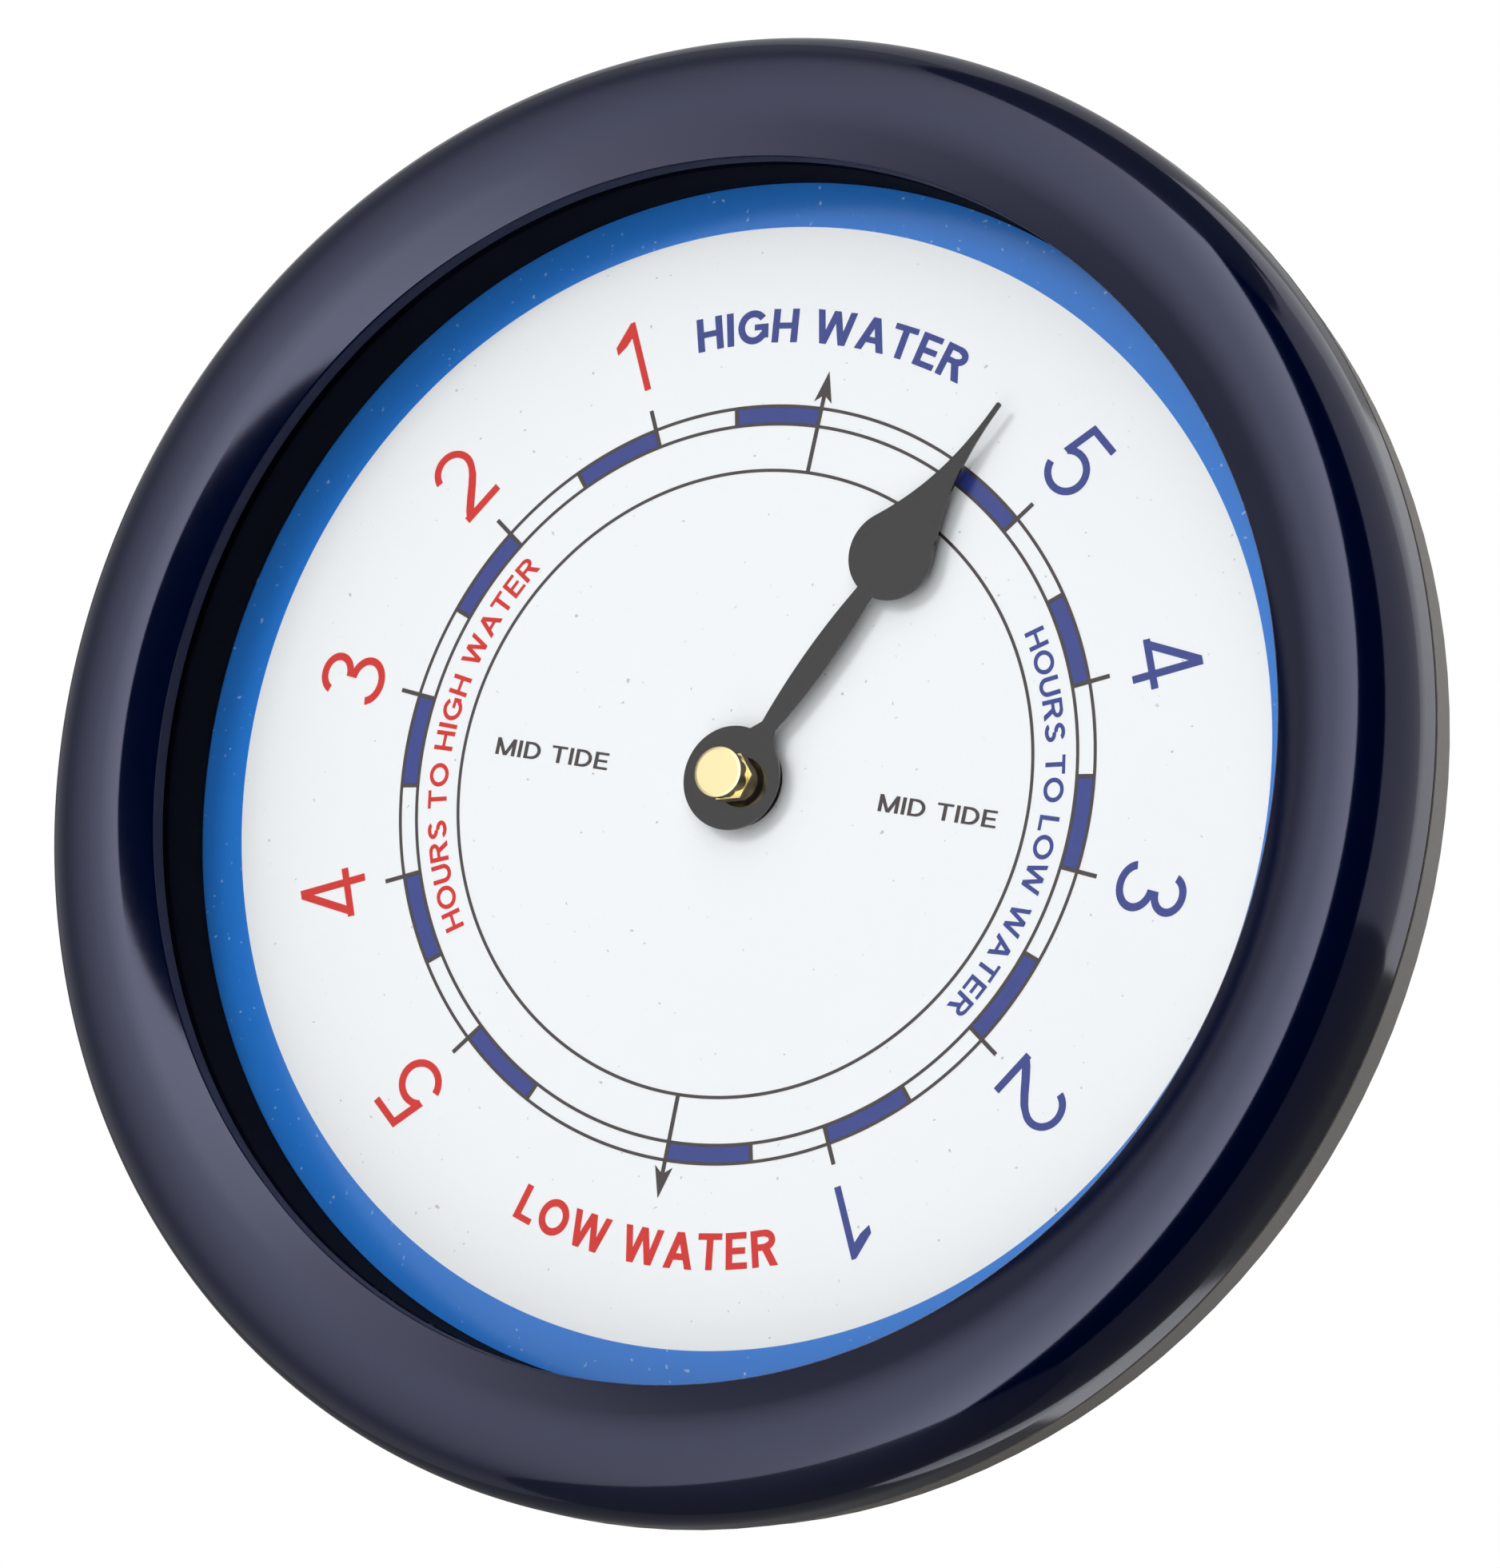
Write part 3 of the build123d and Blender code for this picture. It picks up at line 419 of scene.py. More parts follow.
def place(
    bm: bmesh.types.BMesh,
    name: str,
    finish: Finish,
    body: str,
    smooth_deg: float = 40.0,
    weld: bool = True,
) -> bpy.types.Object:
    """Turns a bmesh into a finished piece that rides on a body.

    Args:
        bm: The shape, in the frame of the solids.
        name: Name of the piece.
        finish: Its material.
        body: Body that carries it.
        smooth_deg: Faces that meet at less than this angle shade as one curve.
        weld: Whether points that lie on each other become one.

    Returns:
        The piece.
    """
    if weld:
        bmesh.ops.remove_doubles(bm, verts=bm.verts[:], dist=WELD_M)
    bmesh.ops.recalc_face_normals(bm, faces=bm.faces[:])
    for face in bm.faces:
        face.smooth = True
    for edge in bm.edges:
        edge.smooth = len(edge.link_faces) == 2 and edge.calc_face_angle() < math.radians(smooth_deg)
    mesh = bpy.data.meshes.new(name)
    bm.to_mesh(mesh)
    bm.free()
    piece = bpy.data.objects.new(name, mesh)
    bpy.context.scene.collection.objects.link(piece)
    mesh.materials.append(finish.material())
    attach(piece, body)
    LOG.info("%s: %d faces", name, len(mesh.polygons))
    return piece


def raise_faces(bm: bmesh.types.BMesh, faces: list[bmesh.types.BMFace], height: float) -> None:
    """Gives flat faces a thickness towards the front.

    Args:
        bm: Mesh that holds them.
        faces: The faces, which stay as the back.
        height: The thickness, millimetres.
    """
    grown = bmesh.ops.extrude_face_region(bm, geom=faces)["geom"]
    lifted = [v for v in grown if isinstance(v, bmesh.types.BMVert)]
    bmesh.ops.translate(bm, vec=(0.0, -height * MM, 0.0), verts=lifted)


def turn(
    bm: bmesh.types.BMesh,
    section: list[Point],
    steps: int,
    start_deg: float = 0.0,
    sweep_deg: float = FULL_TURN,
) -> None:
    """Turns a closed section of (radius, depth) points about the clock's axis.

    Args:
        bm: Mesh that takes the shape.
        section: Corners of the section, millimetres.
        steps: Divisions of the turn.
        start_deg: Dial angle of the first face.
        sweep_deg: How far it turns.
    """
    at = Matrix.Rotation(math.radians(start_deg), 3, "Y")
    verts = [bm.verts.new(at @ Vector((0.0, -depth * MM, radius * MM))) for radius, depth in section]
    edges = [bm.edges.new((verts[k - 1], verts[k])) for k in range(len(verts))]
    whole = sweep_deg >= FULL_TURN
    caps = [] if whole else [bm.faces.new(verts)]
    bmesh.ops.spin(
        bm,
        geom=[*verts, *edges, *caps],
        cent=(0, 0, 0),
        axis=(0, 1, 0),
        angle=math.radians(sweep_deg),
        steps=steps,
        use_merge=whole,
    )


@dataclass
class CaseFront:
    """Domed bezel and the ring between dial and lens.

    Attributes:
        case_r: Outer radius.
        window_r: Open radius inside the lip.
        crest_r: Radius of the highest ring.
        crest_depth: Depth of the crest.
        cone_r: Radius where the inner slope turns straight.
        lip_depth: Edge where the inner slope meets the lip's wall.
        lens_front: Depth of the lens's face.
        shoulder_depth: Where the flank starts to round over.
        seam_depth: Joint with the back shell.
        wall: Wall of the moulding.
        skirt_r: Radius of the pocket behind the lip.
        stack_r: Radius of dial, spacer and lens.
        dial_depth: Depth of the dial's face.
        spacer_front: Depth of the spacer's front edge.
        edge: Small round on the sharp edges.
        arc_steps: Divisions of each side of the dome.
        round_steps: Divisions of the lip's small round.
        turn_steps: Divisions of a full turn.
    """

    case_r: float = 120.65
    window_r: float = 99.2
    crest_r: float = 108.9
    crest_depth: float = 42.8
    cone_r: float = 104.0
    lip_depth: float = 38.18
    lens_front: float = 35.4
    shoulder_depth: float = 30.9
    seam_depth: float = 26.2
    wall: float = 2.6
    skirt_r: float = 102.3
    stack_r: float = 102.2
    dial_depth: float = 22.0
    spacer_front: float = 33.4
    edge: float = 0.35
    arc_steps: int = 32
    round_steps: int = 4
    turn_steps: int = 320

    def flank(self) -> list[Point]:
        """Outer half of the dome, a quarter ellipse from the shoulder up to the crest.

        Returns:
            Points of (radius, depth).
        """
        foot = self.shoulder_depth
        wide, rise = self.case_r - self.crest_r, self.crest_depth - foot
        angles = [math.pi / 2 * k / self.arc_steps for k in range(self.arc_steps + 1)]
        return [(self.crest_r + wide * math.cos(t), foot + rise * math.sin(t)) for t in angles]

    def slope(self) -> list[Point]:
        """Inner half of the dome: a parabola from the crest, a straight cone and the lip's small round.

        Returns:
            Points of (radius, depth).
        """
        bend = self.crest_r - self.cone_r
        steep = (self.crest_depth - self.lip_depth) / (self.cone_r + bend / 2 - self.window_r)
        shares = [k / self.arc_steps for k in range(1, self.arc_steps + 1)]
        curve = [(self.crest_r - bend * s, self.crest_depth - steep * bend * s * s / 2) for s in shares]
        curve.append((self.window_r + self.edge, self.lip_depth + steep * self.edge))
        start, end = curve[-1], (self.window_r, self.lip_depth - self.edge)
        corner = (self.window_r, self.lip_depth)
        for s in (k / self.round_steps for k in range(1, self.round_steps + 1)):
            near, mid, far = (1 - s) ** 2, 2 * s * (1 - s), s * s
            curve.append(tuple(near * a + mid * b + far * c for a, b, c in zip(start, corner, end)))
        return curve

    def bezel(self) -> bpy.types.Object:
        """Builds the domed ring with its lip and closed back.

        Returns:
            The bezel.
        """
        back = [
            (self.window_r, self.lens_front),
            (self.skirt_r, self.lens_front),
            (self.skirt_r + self.wall, self.lens_front + self.wall),
            (self.case_r - self.wall, self.shoulder_depth),
            (self.case_r - self.wall, self.seam_depth),
            (self.case_r - self.edge, self.seam_depth),
            (self.case_r, self.seam_depth + self.edge),
        ]
        bm = bmesh.new()
        turn(bm, [*self.flank(), *self.slope(), *back], self.turn_steps)
        # Faces inside the lip's round take the dull navy, whose lighter colour is painted sheen
        painted_sheen_r = (self.window_r + self.edge / 2) * MM
        for face in bm.faces:
            face.material_index = int(all(math.hypot(v.co.x, v.co.z) < painted_sheen_r for v in face.verts))
        made = place(bm, "domed_bezel", NAVY_ABS, BODY)
        made.data.materials.append(DULL_NAVY_ABS_PAINTED_SHEEN.material())
        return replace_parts(made, "bezel")

    def spacer(self) -> bpy.types.Object:
        """Builds the dark ring between dial and lens.

        Returns:
            The ring.
        """
        bm = bmesh.new()
        section = [
            (self.window_r + self.edge, self.dial_depth),
            (self.stack_r, self.dial_depth),
            (self.stack_r, self.spacer_front),
            (self.window_r, self.spacer_front),
            (self.window_r, self.dial_depth + self.edge),
        ]
        turn(bm, section, self.turn_steps)
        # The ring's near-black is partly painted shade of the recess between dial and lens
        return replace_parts(place(bm, "dial_spacer", BLACK_CARD_PAINTED_SHADE, BODY), "spacer_ring")


@dataclass
class SpadeHand:
    """Stamped spade hand, which turns with the tide arbor.

    Attributes:
        bearing: Dial angle at which it points at rest.
        back_depth: Depth of its underside.
        front_depth: Depth of its face.
        boss_r: Radius of the disc round the arbor.
        hole_r: Hole for the bushing.
        arm_mid: Distance at which the arm is widest.
        arm_half: Half of that width.
        arm_taper: How fast the arm narrows to both sides, per millimetre.
        boss_join: Where the arm's round into the disc starts.
        join_spread: How far round the disc that round reaches, in half widths of the arm.
        bulb_at: Distance of the bulb's middle.
        bulb_r: Radius of the bulb.
        leave_deg: Angle on the bulb, from the axis, where the taper leaves it.
        taper_power: Power of the taper's curve, which makes it leave the bulb smoothly.
        reach: Distance of the tip.
        tip_r: Half width of the tip.
        steps: Divisions of each curve.
        tip_steps: Divisions of the tip's round.
    """

    bearing: float = 26.9
    back_depth: float = 24.8
    front_depth: float = 25.4
    boss_r: float = 8.5
    hole_r: float = 2.4
    arm_mid: float = 24.0
    arm_half: float = 2.15
    arm_taper: float = 0.0042
    boss_join: float = 10.2
    join_spread: float = 1.8
    bulb_at: float = 43.9
    bulb_r: float = 7.35
    leave_deg: float = 61.0
    taper_power: float = 2.36
    reach: float = 73.8
    tip_r: float = 0.36
    steps: int = 32
    tip_steps: int = 8

    def arm(self, along: float) -> float:
        """Half width of the arm at a distance from the arbor."""
        return self.arm_half - self.arm_taper * (along - self.arm_mid) ** 2

    def side(self) -> list[Point]:
        """One side of the hand, from the tip to the far end of the disc.

        Returns:
            Points of (distance, half width).
        """
        shares = [k / self.steps for k in range(self.steps + 1)]
        leave = math.radians(self.leave_deg)
        start, end = self.bulb_at + self.bulb_r * math.cos(leave), self.reach - self.tip_r
        wide = self.bulb_r * math.sin(leave) - self.tip_r
        rounds = [math.pi / 2 * (1 - k / self.tip_steps) for k in range(self.tip_steps + 1)]
        tip = [(end + self.tip_r * math.sin(a), self.tip_r * math.cos(a)) for a in rounds]
        taper = [(end + (start - end) * s, self.tip_r + wide * s**self.taper_power) for s in shares[1:]]
        neck = math.pi - math.asin(self.arm(self.bulb_at - self.bulb_r) / self.bulb_r)
        turns = [leave + (neck - leave) * s for s in shares[1:]]
        bulb = [(self.bulb_at + self.bulb_r * math.cos(a), self.bulb_r * math.sin(a)) for a in turns]
        arm_run = [bulb[-1][0] + (self.boss_join - bulb[-1][0]) * s for s in shares[1:]]
        meet = math.asin(self.arm(self.boss_join) / self.boss_r) * self.join_spread
        boss = [meet + (math.pi - meet) * s for s in shares]
        disc = [(self.boss_r * math.cos(a), self.boss_r * math.sin(a)) for a in boss]
        return [*tip, *taper, *bulb, *((x, self.arm(x)) for x in arm_run), *disc]

    def build(self) -> bpy.types.Object:
        """Builds the hand.

        Returns:
            The hand.
        """
        half = self.side()
        rim = [*half, *((x, -y) for x, y in half[-2:0:-1])]
        turns = [2 * math.pi * k / self.steps for k in range(self.steps)]
        hole = [(self.hole_r * math.cos(a), self.hole_r * math.sin(a)) for a in turns]
        at = Matrix.Rotation(math.radians(self.bearing), 3, "Y")
        bm = bmesh.new()
        edges = []
        for loop in (rim, hole):
            verts = [bm.verts.new(at @ Vector((y * MM, -self.back_depth * MM, x * MM))) for x, y in loop]
            edges += [bm.edges.new((verts[k - 1], verts[k])) for k in range(len(verts))]
        filled = bmesh.ops.triangle_fill(bm, use_beauty=True, edges=edges)["geom"]
        faces = [f for f in filled if isinstance(f, bmesh.types.BMFace)]
        raise_faces(bm, faces, self.front_depth - self.back_depth)
        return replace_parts(place(bm, "spade_hand", BLACK_ENAMEL, "hand"), "tide_hand")


@dataclass
class CapNut:
    """Closed brass nut that holds the hand: a thin hexagon, a neck and a round polished cap.

    Attributes:
        seat_depth: Depth of the hand's face, on which it sits.
        front_depth: Depth of the cap's face.
        plate_h: Thickness of the hexagon.
        plate_r: Radius to the hexagon's corners.
        plate_angle: Dial angle of one corner.
        chamfer: Small slope on the hexagon's front edge.
        neck_r: Radius of the neck.
        cap_r: Radius of the cap.
        cap_h: Height of the cap.
        bevel: Width of the gentle slope round the cap's face.
        bevel_drop: Fall of that slope.
        bore_r: Thread on the arbor's tip.
        roof: Metal in front of the thread.
        sides: Sides of the hexagon.
        steps: Divisions of a full turn.
        crease_deg: Angle from which an edge shows as sharp.
    """

    seat_depth: float = 25.4
    front_depth: float = 30.4
    plate_h: float = 1.0
    plate_r: float = 4.3
    plate_angle: float = 18.2
    chamfer: float = 0.15
    neck_r: float = 3.5
    cap_r: float = 4.1
    cap_h: float = 1.3
    bevel: float = 0.42
    bevel_drop: float = 0.15
    bore_r: float = 1.25
    roof: float = 1.2
    sides: int = 6
    steps: int = 96
    crease_deg: float = 12.0

    def build(self) -> bpy.types.Object:
        """Builds the nut.

        Returns:
            The nut.
        """
        neck_back, cap_back = self.seat_depth + self.plate_h, self.front_depth - self.cap_h
        hole = self.bore_r / math.cos(math.pi / self.sides)
        plate = [
            (hole, self.seat_depth),
            (self.plate_r, self.seat_depth),
            (self.plate_r, neck_back - self.chamfer),
            (self.plate_r - self.chamfer, neck_back),
            (hole, neck_back),
        ]
        round_part = [
            (self.bore_r, neck_back),
            (self.neck_r, neck_back),
            (self.neck_r, cap_back),
            (self.cap_r, cap_back),
            (self.cap_r, self.front_depth - self.bevel_drop),
            (self.cap_r - self.bevel, self.front_depth),
            (0.0, self.front_depth),
            (0.0, self.front_depth - self.roof),
            (self.bore_r, self.front_depth - self.roof),
        ]
        bm = bmesh.new()
        turn(bm, plate, self.sides, self.plate_angle)
        turn(bm, round_part, self.steps)
        made = place(bm, "polished_cap_nut", BRASS, "hand", self.crease_deg)
        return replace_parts(made, "cap_nut")


class Facing(Enum):
    """Which way the tops of letters on a ring point."""

    OUTWARD = 0.0
    INWARD = 180.0


# Divisions of a letter's curve
BOW_STEPS = 24
# Level strokes of a letter as a share of its upright ones
LEVEL_SHARE = 0.85
# Width of each sign whose height is one; the I is as wide as its stroke
LETTER_WIDTHS: dict[str, float] = {
    "A": 0.92, "D": 0.8, "E": 0.68, "G": 0.95, "H": 0.8, "L": 0.62, "M": 0.95, "O": 0.98, "R": 0.82,
    "S": 0.74, "T": 0.76, "U": 0.78, "W": 1.25, "1": 0.355, "2": 0.62, "3": 0.62, "4": 0.66, "5": 0.63,
}


def bar(left: float, low: float, right: float, high: float) -> Outline:
    """Outline of a straight stroke, square to the page."""
    return [(left, low), (right, low), (right, high), (left, high)]


def leg(foot: float, low: float, head: float, high: float, stroke: float) -> Outline:
    """Outline of a slanting stroke with level ends, between the middles of its foot and head."""
    half = stroke / 2
    return [(foot - half, low), (foot + half, low), (head + half, high), (head - half, high)]


def bow(middle: Point, reach: Point, start: float, end: float, stroke: float) -> Outline:
    """Outline of a curved stroke along part of an ellipse.

    Args:
        middle: Middle of the ellipse.
        reach: Half width and half height of its outer edge.
        start: First angle, degrees anticlockwise from the right.
        end: Last angle.
        stroke: Width of the stroke.

    Returns:
        The outline.
    """
    x, y = middle
    wide, tall = reach
    angles = [math.radians(start + (end - start) * k / BOW_STEPS) for k in range(BOW_STEPS + 1)]
    outer = [(x + wide * math.cos(t), y + tall * math.sin(t)) for t in angles]
    inner = [(x + (wide - stroke) * math.cos(t), y + (tall - stroke) * math.sin(t)) for t in angles]
    return [*outer, *inner[::-1]]


def letter_shapes(sign: str, t: float) -> tuple[float, list[Outline]]:
    """Draws a plain sans serif letter or numeral whose height is one.

    Args:
        sign: The letter.
        t: Width of its strokes.

    Returns:
        Its width and its outlines.
    """
    h, half = LEVEL_SHARE * t, t / 2
    full, bold, fine = 1.1 * t, 1.2 * t, 0.95 * t
    mid_low, mid_high = 0.5 - h / 2, 0.5 + h / 2
    stem = bar(0.0, 0.0, t, 1.0)
    w_legs = ((0.33, half), (0.33, 0.625), (0.92, 0.625), (0.92, 1.25 - half))
    one_flag = [(0.0, 0.74), (0.0, 0.63), (0.15, 0.70), (0.26, 0.79)]
    one_stem = [(0.26, 0.0), (0.355, 0.0), (0.355, 1.0), (0.29, 1.0)]
    two_leg = [(0.593, 0.55), (0.53, 0.44), (0.43, 0.335), (0.30, 0.215), (0.17, 0.09), (0.0, 0.0)]
    two_back = [(0.0, 0.06), (0.08, 0.165), (0.21, 0.29), (0.35, 0.415), (0.45, 0.515), (0.511, 0.5975)]
    drawn: dict[str, list[Outline]] = {
        "A": [
            leg(half, 0, 0.46, 1, full),
            leg(0.92 - half, 0, 0.46, 1, full),
            bar(0.2, 0.24, 0.72, 0.24 + h),
        ],
        "D": [
            stem,
            bar(0, 0, 0.36, h),
            bar(0, 1 - h, 0.36, 1),
            bow((0.36, 0.5), (0.44, 0.5), -90, 90, fine),
        ],
        "E": [stem, bar(0, 0, 0.68, h), bar(0, mid_low, 0.62, mid_high), bar(0, 1 - h, 0.66, 1)],
        "G": [
            bow((0.48, 0.5), (0.48, 0.51), 38, 330, t),
            bar(0.52, 0.4, 0.95, 0.4 + h),
            bar(0.95 - t, 0.16, 0.95, 0.45),
        ],
        "H": [stem, bar(0.8 - t, 0, 0.8, 1), bar(0, mid_low, 0.8, mid_high)],
        "I": [stem],
        "L": [stem, bar(0, 0, 0.62, h)],
        "M": [stem, bar(0.95 - t, 0, 0.95, 1), leg(0.475, 0, half, 1, t), leg(0.475, 0, 0.95 - half, 1, t)],
        "O": [bow((0.49, 0.5), (0.49, 0.51), k, k + 180, t) for k in (0, 180)],
        "R": [
            stem,
            bar(0, 1 - h, 0.45, 1),
            bar(0, 0.44, 0.45, 0.44 + h),
            bow((0.45, 0.72), (0.32, 0.28), -90, 90, fine),
            leg(0.82 - 0.6 * t, 0, 0.46, 0.47, bold),
        ],
        "S": [
            bow((0.37, 0.735), (0.35, 0.275), 22, 270, t),
            bow((0.37, 0.275), (0.37, 0.285), -160, 90, t),
        ],
        "T": [bar(0, 1 - h, 0.76, 1), bar(0.38 - half, 0, 0.38 + half, 1)],
        "U": [
            bar(0, 0.37, t, 1),
            bar(0.78 - t, 0.37, 0.78, 1),
            bow((0.39, 0.38), (0.39, 0.39), 180, 360, t),
        ],
        "W": [leg(foot, 0, head, 1, t) for foot, head in w_legs],
        "1": [[*one_flag, *one_stem]],
        "2": [bow((0.32, 0.7), (0.315, 0.3), -30, 170, t), [*two_leg, *two_back], bar(0, 0, 0.63, t)],
        "3": [bow((0.3, 0.755), (0.27, 0.245), -90, 165, t), bow((0.3, 0.275), (0.31, 0.275), -165, 90, t)],
        "4": [bar(0.42, 0, 0.42 + t, 1), bar(0, 0.235, 0.66, 0.235 + t), leg(0.05, 0.25, 0.465, 1, bold)],
        "5": [
            bar(0.12, 1 - t, 0.58, 1),
            leg(0.1, 0.48, 0.17, 1, t),
            bow((0.31, 0.325), (0.32, 0.325), -163, 140, t),
        ],
    }
    return LETTER_WIDTHS.get(sign, t), drawn[sign]


# Stretch of each numeral across, and how far it stands beside its mark as a share of its height
NUMERAL_FIT: dict[str, Point] = {
    "1": (1.0, -0.107),
    "2": (1.01, 0.0),
    "3": (1.08, 0.0),
    "4": (1.03, 0.0),
    "5": (1.045, 0.0),
}


@dataclass(frozen=True)
class Phrase:
    """Plain words set round an arc of the dial.

    Attributes:
        words: What they say.
        radius: Radius of the letters' feet.
        tall: Height of the capitals.
        ends: Dial angles where they begin and end.
        facing: Which way their tops point.
        stroke: Width of the strokes, as a share of the height.
    """

    words: str
    radius: float
    tall: float
    ends: Point
    facing: Facing
    stroke: float


FALLING_PHRASES = (
    Phrase("HIGH WATER", 72.6, 5.6, (-19.0, 19.0), Facing.OUTWARD, 0.21),
    Phrase("HOURS TO LOW WATER", 53.5, 3.4, (56.0, 124.4), Facing.OUTWARD, 0.18),
)
RISING_PHRASES = (
    Phrase("LOW WATER", 79.0, 5.9, (198.0, 162.0), Facing.INWARD, 0.21),
    Phrase("HOURS TO HIGH WATER", 53.5, 3.4, (236.0, 304.0), Facing.OUTWARD, 0.18),
)


@dataclass
class Lettering:
    """Letters and numerals of the dial.

    Attributes:
        face_depth: Depth of the dial's face.
        ink: Thickness of the print.
        ink_step: Share by which each further stroke of a letter stands higher, so that they cross cleanly.
        gap: Gap between two letters, in widths of a unit letter.
        space: Width of a space between words.
    """

    face_depth: float = 22.0
    ink: float = 0.06
    ink_step: float = 0.1
    gap: float = 0.14
    space: float = 0.26

    def stand(self, angle: float, radius: float, facing: Facing) -> Matrix:
        """Where a letter stands on the dial.

        Args:
            angle: Dial angle.
            radius: Distance of its foot from the middle.
            facing: Which way its top points.

        Returns:
            Matrix from the flat letter's plane to the dial.
        """
        side = -1.0 if facing is Facing.INWARD else 1.0
        spin = Matrix.Rotation(math.radians(angle - facing.value), 4, "Y")
        out = Matrix.Translation((0.0, -self.face_depth * MM, side * radius * MM))
        return spin @ out @ Matrix.Rotation(math.pi / 2, 4, "X")

    def press(
        self,
        bm: bmesh.types.BMesh,
        shapes: list[Outline],
        at: Matrix,
        wide: float,
        tall: float,
        left: float,
    ) -> None:
        """Prints the outlines of one letter.

        Args:
            bm: Mesh of the print.
            shapes: The outlines.
            at: Where the letter stands.
            wide: Scale across, millimetres.
            tall: Scale up, millimetres.
            left: Place of its left edge, millimetres.
        """
        for step, shape in enumerate(shapes):
            flat = [Vector(((left + x * wide) * MM, y * tall * MM, 0.0)) for x, y in shape]
            face = bm.faces.new([bm.verts.new(at @ point) for point in flat])
            raise_faces(bm, [face], self.ink * (1 + step * self.ink_step))

    def spread(self, words: str, stroke: float, length: float) -> tuple[float, list[float]]:
        """Spaces letters out to fill a length.

        Args:
            words: What they say.
            stroke: Width of the strokes, as a share of the height.
            length: Length to fill, millimetres.

        Returns:
            Scale across and the left edge of each letter, millimetres.
        """
        widths = [self.space if c == " " else letter_shapes(c, stroke)[0] for c in words]
        scale = length / (sum(widths) + self.gap * (len(words) - 1))
        lefts = [scale * (sum(widths[:k]) + self.gap * k) for k in range(len(words))]
        return scale, lefts

    def ring(self, bm: bmesh.types.BMesh, phrase: Phrase) -> None:
        """Sets words round an arc and fills it.

        Args:
            bm: Mesh of the print.
            phrase: The words and where they stand.
        """
        start, end = phrase.ends
        half = phrase.tall / 2
        middle = phrase.radius + (half if phrase.facing is Facing.OUTWARD else -half)
        scale, lefts = self.spread(phrase.words, phrase.stroke, math.radians(abs(end - start)) * middle)
        way = math.copysign(1.0, end - start)
        for sign, left in zip(phrase.words, lefts):
            if sign != " ":
                width, shapes = letter_shapes(sign, phrase.stroke)
                angle = start + way * math.degrees((left + width * scale / 2) / middle)
                at = self.stand(angle, phrase.radius, phrase.facing)
                self.press(bm, shapes, at, scale, phrase.tall, -width * scale / 2)

    def numeral(
        self, bm: bmesh.types.BMesh, sign: str, angle: float, radius: float, tall: float, stroke: float
    ) -> None:
        """Sets one numeral, its top outwards, centred on a radius.

        Args:
            bm: Mesh of the print.
            sign: The numeral.
            angle: Dial angle.
            radius: Radius of its middle.
            tall: Its height.
            stroke: Width of the strokes, as a share of the height.
        """
        width, shapes = letter_shapes(sign, stroke)
        broad, shift = NUMERAL_FIT[sign]
        at = self.stand(angle, radius - tall / 2, Facing.OUTWARD)
        self.press(bm, shapes, at, tall * broad, tall, tall * (shift - width * broad / 2))

    def word(
        self, bm: bmesh.types.BMesh, words: str, x: float, length: float, tall: float, stroke: float
    ) -> None:
        """Sets level words of a given length, half way up the dial.

        Args:
            bm: Mesh of the print.
            words: What they say.
            x: Place of their middle across the dial.
            length: Their length.
            tall: Height of their capitals.
            stroke: Width of the strokes, as a share of the height.
        """
        scale, lefts = self.spread(words, stroke, length)
        foot = Matrix.Translation((x * MM, -self.face_depth * MM, -tall / 2 * MM))
        upright = foot @ Matrix.Rotation(math.pi / 2, 4, "X")
        for sign, left in zip(words, lefts):
            if sign != " ":
                self.press(bm, letter_shapes(sign, stroke)[1], upright, scale, tall, left - length / 2)


